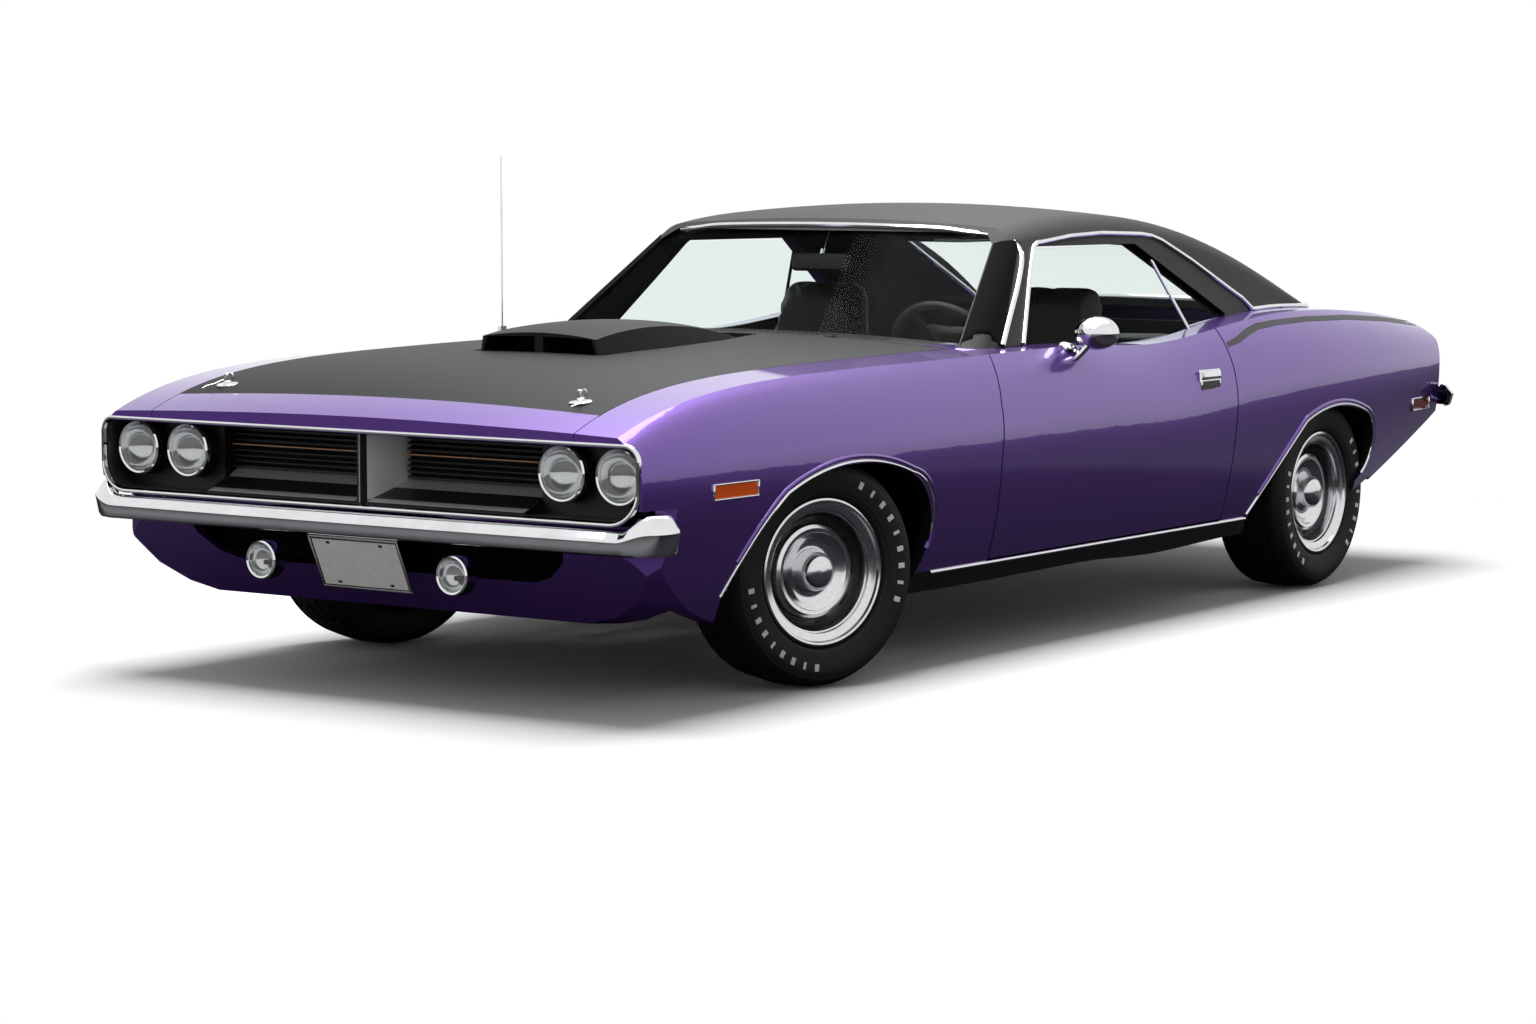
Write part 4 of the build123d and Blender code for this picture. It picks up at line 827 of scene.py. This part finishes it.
bumper("front_blade", FRONT_PLAN, FRONT_SECTION, "front_bumper", FRONT_TIP_RISE, 1)
bumper("rear_blade", REAR_PLAN, REAR_SECTION, "rear_bumper", REAR_TIP_RISE, -1)
bm = bmesh.new()
for y in (-IRON_Y, IRON_Y):
    cuboid(bm, at(2.300, y, 0.458), (0.080, 0.060, 0.036), 0.004)
    cuboid(bm, at(-2.305, y, 0.572), (0.080, 0.060, 0.032), 0.004)
finished(bm, "bumper_irons", undercoat, "body", "chassis_steel")

# Lamps: places, and sizes of glass and bowl
FACE_FORWARD = turn("Y", 90)
HEADLAMP_X, HEADLAMP_Z, HEADLAMP_R, HEADLAMP_DEPTH = 2.286, 0.623, 0.066, 0.050
HEADLAMP_Y = (0.814, 0.634, -0.634, -0.814)
FOG_X, FOG_Z, FOG_R, FOG_DEPTH = 2.341, 0.352, 0.044, 0.034
FOG_Y = (0.324, -0.324)
FOG_SHELL = ((0.0500, -0.004), (0.0490, -0.020), (0.0440, -0.040), (0.0330, -0.056), (0.0180, -0.064),
             (0.0004, -0.066))


def lamp(name, place, r, depth, *nodes):
    """A sealed lamp: bright bezel, mirrored bowl and pressed glass."""
    bm = bmesh.new()
    spun(bm, ((r + 0.0085, -0.030), (r + 0.0085, 0.000), (r + 0.0075, 0.007), (r + 0.0035, 0.0105),
              (r - 0.001, 0.008), (r - 0.003, 0.002), (r - 0.003, -0.004)), place, 64)
    finished(bm, name + "_bezel", chrome, "body", "bright_trim", *nodes)
    bm = bmesh.new()
    spun(bm, ((r - 0.003, -0.002), (r * 0.9, -depth * 0.30), (r * 0.7, -depth * 0.62),
              (r * 0.4, -depth * 0.90), (r * 0.16, -depth), (0.0004, -depth)), place, 48)
    finished(bm, name + "_bowl", reflector, "body", "lamp_glass")
    bm = bmesh.new()
    spun(bm, ((r - 0.002, 0.0005), (r * 0.92, 0.0065), (r * 0.75, 0.0115), (r * 0.5, 0.0155),
              (r * 0.25, 0.0178), (0.0004, 0.0185)), place, 64)
    finished(bm, name + "_lens", fluted_glass, "body", "lamp_glass")


def fog_lamp(name, y, *nodes):
    """A small lamp with a black shell behind it, on an arm from the valance."""
    spot = at(FOG_X, y, FOG_Z) @ FACE_FORWARD
    lamp(name, spot, FOG_R, FOG_DEPTH, *nodes)
    bm = bmesh.new()
    spun(bm, FOG_SHELL, spot, 48)
    finished(bm, name + "_shell", satin_black_and_painted_shade, "body", "grille_black")
    bm = bmesh.new()
    cuboid(bm, at(2.262, y, 0.3435), (0.13, 0.022, 0.013), 0.003)
    finished(bm, name + "_arm", satin_black_and_painted_shade, "body", "chassis_steel")


for k, y in enumerate(HEADLAMP_Y):
    spot = at(HEADLAMP_X, y, HEADLAMP_Z) @ FACE_FORWARD
    lamp(f"headlamp_{k + 1}", spot, HEADLAMP_R, HEADLAMP_DEPTH, *(["headlamps"] if k == 0 else []))
for k, y in enumerate(FOG_Y):
    fog_lamp(f"fog_lamp_{k + 1}", y, *(["fog_lamps"] if k == 0 else []))
# A near-black sheet behind the valance vents: painted shade in the openings
bm = bmesh.new()
cuboid(bm, at(2.205, 0, 0.368), (0.006, 1.16, 0.120), 0.002)
finished(bm, "vent_painted_shade_sheet", black_seal_and_painted_shade, "body", "grille_black")

# Blank plate: its place, leaning in at the foot, its size, and how far its rims stand before it
PLATE = at(2.3245, 0, 0.360) @ turn("Y", 24)
PLATE_WIDE, PLATE_HIGH = 0.300, 0.150
PLATE_PROUD = 0.0008
PLATE_SLOT = (0.089, 0.058)


def blank_plate():
    """A bare sheet in a bright frame with a dark line inside it, and four slots for bolts drawn as black
    marks of painted shade.
    """
    bm = bmesh.new()
    cuboid(bm, PLATE, (0.0022, PLATE_WIDE, PLATE_HIGH), 0.0008, 1)
    finished(bm, "blank_plate", plate, "body", "plate_enamel", "licence_plate")
    bm = bmesh.new()
    for dy, dz, wide, high in rim_bars(0.1485, 0.0735, 0.306, 0.155, 0.008):
        cuboid(bm, PLATE @ at(PLATE_PROUD, dy, dz), (0.0060, wide, high), 0.0028)
    cuboid(bm, at(2.318, 0, 0.410), (0.046, 0.12, 0.024), 0.003)
    finished(bm, "plate_frame", chrome, "body", "bright_trim")
    bm = bmesh.new()
    # Bolt slots as satin-black marks: painted shade for the openings
    for dy in (-PLATE_SLOT[0], PLATE_SLOT[0]):
        for dz in (PLATE_SLOT[1], -PLATE_SLOT[1]):
            cuboid(bm, PLATE @ at(PLATE_PROUD, dy, dz), (0.003, 0.013, 0.007), 0.001, 1)
    for dy, dz, wide, high in rim_bars(0.1435, 0.0690, 0.290, 0.141, 0.003):
        cuboid(bm, PLATE @ at(PLATE_PROUD, dy, dz), (0.0034, wide, high), 0.0008, 1)
    finished(bm, "plate_slot_shade_and_rim_line", satin_black_and_painted_shade, "body", "plate_enamel")


blank_plate()

# Tail: corners of a lamp's frame as y and z, heights of its ribs, and the lock's section
LAMP_CORNERS = ((0.236, 0.636), (0.594, 0.636), (0.594, 0.739), (0.236, 0.739), (0.236, 0.636))
RIB_ENDS, RIB_HEIGHTS = (0.24, 0.59), (0.670, 0.704)
LOCK_Z = 0.760
LOCK = ((0.024, -0.004), (0.024, 0.004), (0.021, 0.007), (0.013, 0.0075), (0.012, 0.0045), (0.0004, 0.0045))


def tail():
    """Bright frames and ribs on the tail lamps, and the trunk's lock."""
    skin = surface("tail_panel", "red_lamps", "quarter_left", "quarter_right")
    for side, label in SIDES:
        frame_line = between([(side * y, z) for y, z in LAMP_CORNERS])
        bright_strip("tail_lamp_frame_" + label, seen_from_behind(skin, frame_line, 0.002), 0.0055)
        for k, z in enumerate(RIB_HEIGHTS):
            run = between([(side * y, z) for y in RIB_ENDS])
            bright_strip(f"tail_lamp_rib_{label}_{k + 1}", seen_from_behind(skin, run, 0.001), 0.0025)
    spot = seen_from_behind(surface("trunk_lid", "tail_panel"), [(0.0, LOCK_Z)])[0]
    bm = bmesh.new()
    spun(bm, LOCK, at(*spot) @ turn("Y", -75), 32)
    finished(bm, "trunk_lock", chrome, "body", "bright_trim")


tail()

# Hood pins: place, sections of the pin and of its ring, and the lanyard's line out from the pin
PIN_X, PIN_Y = 2.169, 0.600
PIN = ((0.030, -0.002), (0.030, 0.002), (0.026, 0.004), (0.010, 0.0045), (0.009, 0.010), (0.006, 0.012),
       (0.006, 0.030), (0.003, 0.033), (0.0004, 0.0335))
PIN_RING = ((0.014, 0.0), (0.0158, 0.0012), (0.017, 0.0), (0.0158, -0.0012), (0.014, 0.0))
LANYARD = ((0.004, 0.012, 0.014), (0.03, 0.02, 0.004), (0.05, 0.03, -0.001), (0.072, 0.025, -0.006))


def hood_pin(side, label):
    """A plated pin on its washer, with a ring and a short wire lanyard."""
    spot = seen_from_above(surface("hood"), [(PIN_X, side * PIN_Y)])[0]
    base = at(*spot) @ turn("Y", 8)
    bm = bmesh.new()
    spun(bm, PIN, base, 32)
    spun(bm, PIN_RING, base @ at(0.004, 0.012, 0.020) @ turn("X", 70), 32)
    finished(bm, "hood_pin_" + label, chrome, "hood", "bright_trim")
    path = [spot + Vector((dx, side * dy, dz)) for dx, dy, dz in LANYARD]
    bright_strip("pin_lanyard_" + label, path, 0.0014, "hood")


for side, label in SIDES:
    hood_pin(side, label)

# Side markers: name, panel, middle in x and z, width and height
MARKERS = (("front_marker", "fender_", 1.970, 0.573, 0.180, 0.034),
           ("rear_marker", "quarter_", -2.080, 0.5625, 0.160, 0.035))
MARKER_SPAN = 0.62
HANDLE = (-0.545, 0.722)


def marker_frame(name, panel, x, z, wide, high, side, label):
    """Bright rim round a side marker, turned to lie along the panel."""
    ends = seen_from_side(surface(panel + label), side, [(x + s * wide * MARKER_SPAN, z) for s in (-1, 1)])
    along = (ends[1] - ends[0]).normalized()
    up = Vector((0, 0, 1))
    spot = Matrix((along, up.cross(along), up)).transposed().to_4x4()
    spot.translation = (ends[0] + ends[1]) / 2
    bm = bmesh.new()
    bars = rim_bars(wide / 2 + 0.003, high / 2 + 0.002, wide + 0.010, high + 0.006, 0.005)
    for dx, dz, across, tall in bars:
        cuboid(bm, spot @ at(dx, 0, dz), (across, 0.012, tall), 0.0018)
    finished(bm, f"{name}_frame_{label}", chrome, "body", "bright_trim")


def door_handle(side, label):
    """A plated flap handle over a satin-black plate, painted shade of the recess under it."""
    door = "door_" + label
    place = seen_from_side(surface(door), side, [HANDLE])[0]
    spot = at(*place) @ turn("Z", 0 if side > 0 else 180) @ turn("X", 6)
    bm = bmesh.new()
    cuboid(bm, spot @ at(0, 0.001, 0), (0.128, 0.008, 0.064), 0.0035)
    cuboid(bm, spot @ at(0, 0.008, 0.013), (0.106, 0.012, 0.026), 0.004)
    finished(bm, "door_handle_" + label, chrome, door, "bright_trim")
    # Painted shade: a satin-black plate where the door's recess lies in shadow under the flap
    bm = bmesh.new()
    cuboid(bm, spot @ at(0, 0.0035, -0.0145), (0.108, 0.005, 0.022), 0.001, 1)
    finished(bm, "handle_painted_shade_" + label, satin_black_and_painted_shade, door, "cabin_plastic")


for side, label in SIDES:
    for row in MARKERS:
        marker_frame(*row, side, label)
    door_handle(side, label)

# Door mirror: section of the head back from its glass, its stalk, and its foot
MIRROR_HEAD = ((0.0004, 0.004), (0.043, 0.004), (0.045, 0.000), (0.048, 0.002), (0.0485, 0.010),
               (0.047, 0.026), (0.042, 0.042), (0.033, 0.055), (0.020, 0.064), (0.009, 0.0675),
               (0.0004, 0.068))
MIRROR_STALK = ((0.165, 0.905, 0.862), (0.178, 0.888, 0.838), (0.182, 0.868, 0.818), (0.182, 0.852, 0.806))
MIRROR_FOOT = ((0.030, -0.004), (0.029, 0.002), (0.022, 0.007), (0.012, 0.010), (0.0004, 0.0105))
MIRROR_FOOT_PLACE = (0.182, 0.846)


def door_mirror():
    """A plated bullet head, wider than tall, on a bent stalk."""
    stretch = Matrix.Diagonal((1.12, 1.36, 1.02, 1.0))
    bm = bmesh.new()
    spun(bm, MIRROR_HEAD, at(0.118, 0.910, 0.891) @ turn("Z", 8) @ stretch @ FACE_FORWARD, 48)
    finished(bm, "door_mirror_head", chrome, "door_left", "bright_trim", "mirror_left")
    bright_strip("door_mirror_stalk", MIRROR_STALK, 0.0115, "door_left")
    foot = seen_from_above(surface("door_left"), [MIRROR_FOOT_PLACE])[0]
    bm = bmesh.new()
    spun(bm, MIRROR_FOOT, at(*foot) @ turn("X", -22), 32)
    finished(bm, "door_mirror_foot", chrome, "door_left", "bright_trim")


door_mirror()

# Dark stripe under the quarter's crest, from the door's end to the tail: x, lower and upper z
STRIPE = ((-0.728, 0.812, 0.826), (-0.800, 0.822, 0.840), (-0.880, 0.842, 0.862), (-0.960, 0.858, 0.876),
          (-1.080, 0.866, 0.882), (-1.300, 0.870, 0.885), (-1.600, 0.864, 0.879), (-1.900, 0.846, 0.861),
          (-2.200, 0.818, 0.833))
STRIPE_LIFT = 0.0012


def quarter_stripe(side, label):
    """Tape laid on the quarter panel."""
    panel = surface("quarter_" + label)
    edges = [[(x, low) for x, low, _ in STRIPE], [(x, high) for x, _, high in STRIPE]]
    low, high = [seen_from_side(panel, side, between(edge), STRIPE_LIFT) for edge in edges]
    count = min(len(low), len(high))
    bm = bmesh.new()
    swept(bm, [low[:count], high[:count]])
    finished(bm, "quarter_stripe_" + label, stripe_black, "body", "body_paint")


for side, label in SIDES:
    quarter_stripe(side, label)

# Engine bay: aprons beside the engine, and the housings over the front wheels
APRON_Y, APRON_TOP = 0.440, 0.680
HOUSING_X, HOUSING_STEP, HOUSING_STEPS = 0.780, 0.05, 26
HOUSING_CREST = (0.60, 0.686)
HOUSING_EDGE_Z = 0.672


def engine_bay():
    """Undercoated aprons, with a cover from each to the inside of the fender."""
    bm = bmesh.new()
    for side, label in SIDES:
        cuboid(bm, at(1.420, side * APRON_Y, 0.560), (1.220, 0.006, 0.240), 0.002)
        starts = [(HOUSING_X + HOUSING_STEP * i, side * 0.50, HOUSING_EDGE_Z) for i in range(HOUSING_STEPS)]
        edge = seen_from(surface("fender_" + label), starts, (0, side, 0), 0.004)
        inner = [(p.x, side * (APRON_Y - 0.002), APRON_TOP) for p in edge]
        crest = [(p.x, side * HOUSING_CREST[0], HOUSING_CREST[1]) for p in edge]
        swept(bm, [inner, crest, edge])
    finished(bm, "engine_bay_aprons", undercoat, "body", "chassis_steel")


engine_bay()

# Package shelf under the rear window: places across, then rows from the seat back
SHELF_ACROSS = [-0.57 + 0.06 * k for k in range(20)]
SHELF_ROWS = [-1.390 - 0.024 * i for i in range(11)]
LOUVRE_COUNT, LOUVRE_X, LOUVRE_Y, LOUVRE_STEP = 46, 0.560, -0.46, 0.02


def cabin_trim():
    """Package shelf, louvres in the cowl, and the mirror on its stay."""
    deck = surface("rear_deck")
    bm = bmesh.new()
    swept(bm, [seen_from_above(deck, [(x, y) for y in SHELF_ACROSS], 0.002) for x in SHELF_ROWS])
    finished(bm, "package_shelf", cabin_plastic, "body", "cabin_plastic", crisp=180.0)
    cowl_skin = surface("cowl")
    bm = bmesh.new()
    for i in range(LOUVRE_COUNT):
        gap = LOUVRE_STEP if i >= LOUVRE_COUNT // 2 else 0.0
        for spot in seen_from_above(cowl_skin, [(LOUVRE_X, LOUVRE_Y + LOUVRE_STEP * i + gap)]):
            cuboid(bm, at(*spot) @ turn("Z", 12), (0.085, 0.0065, 0.006), 0.0015, 1)
    finished(bm, "cowl_louvres", satin_black_and_painted_shade, "body", "hood_paint")
    bm = bmesh.new()
    cuboid(bm, at(0.150, -0.042, 1.080) @ turn("Y", -8), (0.022, 0.205, 0.056), 0.010, 3)
    finished(bm, "cabin_mirror", cabin_plastic, "body", "cabin_plastic")
    stay = [(0.150, -0.042, 1.100), (0.135, -0.042, 1.135), (0.110, -0.042, 1.178)]
    bright_strip("cabin_mirror_stay", stay, 0.006)


cabin_trim()

# Seats: the mesh that swells, its pressure and steps, the furthest a point moves, and how tight the fill is
PAD_VOXEL = 0.008
PAD_PRESSURE = 4.0
PAD_FRAMES = 14
PAD_CAP = 0.022
PAD_EDGE = 0.03
SEAT_Y = 0.432


def pad(name, place, size, taper=0.0, lean=0.0):
    """A stuffed seat pad: a rounded block drawn in and leaning back towards its top, which then swells."""
    bm = bmesh.new()
    corners = bmesh.ops.create_cube(bm, size=1.0)["verts"]
    bmesh.ops.scale(bm, vec=size, verts=corners)
    bmesh.ops.subdivide_edges(bm, edges=bm.edges, cuts=9, use_grid_fill=True)
    for vert in bm.verts:
        up = max(0.0, vert.co.z / size[2] + 0.5)
        vert.co.y *= 1.0 - taper * up**4
        vert.co.x -= lean * up
    sharp = [e for e in bm.edges if e.calc_face_angle(0) > 1.0]
    bmesh.ops.bevel(bm, geom=sharp, offset=PAD_EDGE, offset_type="OFFSET", segments=3, profile=0.5,
                    affect="EDGES", material=-1)
    bmesh.ops.transform(bm, matrix=place, verts=bm.verts)
    obj = finished(bm, name, seat_vinyl, "body", "seat_trim", crisp=180.0)
    swell(obj)
    return obj


def swell(obj):
    """Cloth under pressure puffs the pad out; no point moves further than the cap."""
    voxel = obj.modifiers.new("even_mesh", "REMESH")
    voxel.mode = "VOXEL"
    voxel.voxel_size = PAD_VOXEL
    even = bpy.data.meshes.new_from_object(obj.evaluated_get(bpy.context.evaluated_depsgraph_get()))
    obj.modifiers.clear()
    obj.data = even
    start = [v.co.copy() for v in even.vertices]
    cloth = obj.modifiers.new("stuffing", "CLOTH")
    cloth.settings.use_pressure = True
    cloth.settings.uniform_pressure_force = PAD_PRESSURE
    cloth.settings.effector_weights.gravity = 0.0
    scene = bpy.context.scene
    for step in range(1, PAD_FRAMES + 1):
        scene.frame_set(step)
    puffed = bpy.data.meshes.new_from_object(obj.evaluated_get(bpy.context.evaluated_depsgraph_get()))
    obj.modifiers.clear()
    for vert, old in zip(puffed.vertices, start):
        move = vert.co - old
        if move.length > PAD_CAP:
            vert.co = old + move.normalized() * PAD_CAP
    puffed.shade_smooth()
    obj.data = puffed
    scene.frame_set(1)


def seats():
    """Two bucket seats in front and a bench behind."""
    for side, label in SIDES:
        y = side * SEAT_Y
        pad("front_cushion_" + label, at(-0.055, y, 0.375) @ turn("Y", -4), (0.46, 0.43, 0.15))
        pad("front_backrest_" + label, at(-0.345, y, 0.720), (0.075, 0.41, 0.56), 0.34, 0.12)
    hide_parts("front_seats")
    bench = pad("rear_cushion", at(-0.945, 0, 0.520), (0.25, 1.08, 0.07))
    pad("rear_backrest", at(-1.120, 0, 0.690), (0.06, 1.08, 0.29), lean=0.08)
    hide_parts("rear_seat")


seats()

# Studio: strength of the light all round, the softbox overhead, and the floor
AMBIENT = 0.34
SOFTBOX_SIZE, SOFTBOX_WATTS, SOFTBOX_PLACE = (6.4, 3.6), 440.0, (0.1, -0.1, 4.2)
FLOOR_HALF, CARD_HALF, CARD_LIFT = 40.0, 14.0, 0.0012

# Where the floor runs out to white, with lengths along the car drawn in, and where the card turns paler
FLOOR_SHARE, FLOOR_NEAR, FLOOR_FAR = (0.55, 1.0, 0.0), 1.5, 2.6
CARD_NEAR, CARD_FAR = 2.3, 2.9
WHITE = (1, 1, 1, 1)


def studio():
    """White surroundings, one large soft light overhead and a pale floor that keeps the shadow."""
    scene = bpy.context.scene
    scene.view_settings.view_transform = "Standard"
    world = bpy.data.worlds.new("studio")
    scene.world = world
    world.use_nodes = True
    tree = world.node_tree
    tree.nodes.clear()
    ambient = add(tree, "ShaderNodeBackground", Color=WHITE, Strength=AMBIENT)
    backdrop = add(tree, "ShaderNodeBackground", Color=WHITE, Strength=1.0)
    mixed = add(tree, "ShaderNodeMixShader", Fac=seen_straight(tree), i1=ambient.outputs[0],
                i2=backdrop.outputs[0])
    add(tree, "ShaderNodeOutputWorld", Surface=mixed.outputs[0])
    light = bpy.data.lights.new("overhead_softbox", "AREA")
    light.shape = "RECTANGLE"
    light.size, light.size_y = SOFTBOX_SIZE
    light.energy = SOFTBOX_WATTS
    softbox = bpy.data.objects.new("overhead_softbox", light)
    softbox.location = SOFTBOX_PLACE
    scene.collection.objects.link(softbox)
    floor_mesh("studio_floor", FLOOR_HALF, 0.0, floor_finish())
    card = floor_mesh("dark_floor_card", CARD_HALF, CARD_LIFT, card_finish())
    card.visible_camera = False
    card.visible_transmission = False
    card.visible_shadow = False


def seen_straight(tree):
    """1 for what the camera, a mirror or a pane sees, 0 for light that falls on the object."""
    path = add(tree, "ShaderNodeLightPath")
    seen = path.outputs["Is Camera Ray"]
    for ray in ("Is Transmission Ray", "Is Glossy Ray"):
        seen = add(tree, "ShaderNodeMath", {"operation": "MAXIMUM"}, i0=seen, i1=path.outputs[ray]).outputs[0]
    return seen


def floor_mesh(name, half, height, look):
    """A flat square of the stage."""
    bm = bmesh.new()
    bmesh.ops.create_grid(bm, x_segments=1, y_segments=1, size=half, matrix=at(0, 0, height))
    mesh = bpy.data.meshes.new(name)
    bm.to_mesh(mesh)
    bm.free()
    mesh.materials.append(look)
    obj = bpy.data.objects.new(name, mesh)
    bpy.context.scene.collection.objects.link(obj)
    return obj


def floor_finish():
    """Pale floor paper: takes the shadow near the object and runs out to the white backdrop."""
    made, tree, shader = material("pale_floor_paper")
    set_inputs(shader, Base_Color=linear("#f6f6f6"), Roughness=0.9)
    place = add(tree, "ShaderNodeTexCoord").outputs["Object"]
    reach = add(tree, "ShaderNodeVectorMath", {"operation": "MULTIPLY"}, i0=place, i1=FLOOR_SHARE)
    length = add(tree, "ShaderNodeVectorMath", {"operation": "LENGTH"}, i0=reach.outputs[0]).outputs["Value"]
    far = add(tree, "ShaderNodeMapRange", {"interpolation_type": "SMOOTHSTEP"}, Value=length,
              From_Min=FLOOR_NEAR, From_Max=FLOOR_FAR)
    amount = add(tree, "ShaderNodeMath", {"operation": "MULTIPLY"}, i0=far.outputs[0], i1=seen_straight(tree))
    white = add(tree, "ShaderNodeEmission", Color=WHITE, Strength=1.0)
    both = add(tree, "ShaderNodeMixShader", Fac=amount.outputs[0], i1=shader.outputs[0], i2=white.outputs[0])
    show(tree, both)
    return made


def card_finish():
    """Grey card on the floor, darker in mirrors beside the car than before its ends; light passes down."""
    made, tree, shader = material("dark_floor_card")
    set_inputs(shader, Roughness=0.9, Specular_IOR_Level=0.0)
    place = add(tree, "ShaderNodeTexCoord").outputs["Object"]
    along = add(tree, "ShaderNodeSeparateXYZ", Vector=place).outputs["X"]
    along = add(tree, "ShaderNodeMath", {"operation": "ABSOLUTE"}, i0=along).outputs[0]
    ends = add(tree, "ShaderNodeMapRange", {"interpolation_type": "SMOOTHSTEP"}, Value=along,
               From_Min=CARD_NEAR, From_Max=CARD_FAR)
    tone = add(tree, "ShaderNodeMix", {"data_type": "RGBA"}, i0=ends.outputs[0],
               i6=linear("#2e2c30"), i7=linear("#6c6c6e"))
    tree.links.new(tone.outputs[2], shader.inputs["Base Color"])
    grey = add(tree, "ShaderNodeBsdfDiffuse", Color=linear("#8a8a8a"))
    clear = add(tree, "ShaderNodeBsdfTransparent")
    bounce = add(tree, "ShaderNodeLightPath").outputs["Is Diffuse Ray"]
    above = add(tree, "ShaderNodeMixShader", Fac=bounce, i1=shader.outputs[0], i2=grey.outputs[0])
    below = add(tree, "ShaderNodeNewGeometry").outputs["Backfacing"]
    both = add(tree, "ShaderNodeMixShader", Fac=below, i1=above.outputs[0], i2=clear.outputs[0])
    show(tree, both)
    return made


def camera():
    """The photograph's camera: same place, aim and focal length."""
    scene = bpy.context.scene
    data = bpy.data.cameras.new("camera")
    data.sensor_fit = "HORIZONTAL"
    data.sensor_width = SENSOR_MM
    data.lens = SENSOR_MM * FOCAL_PX / FRAME_WIDTH_PX
    eye = bpy.data.objects.new("camera", data)
    yaw, pitch = radians(CAMERA_YAW), radians(CAMERA_PITCH)
    ahead = Vector((cos(pitch) * cos(yaw), cos(pitch) * sin(yaw), sin(pitch)))
    eye.location = CAMERA_PLACE
    eye.rotation_euler = ahead.to_track_quat("-Z", "Y").to_euler()
    scene.collection.objects.link(eye)
    scene.camera = eye


studio()
camera()
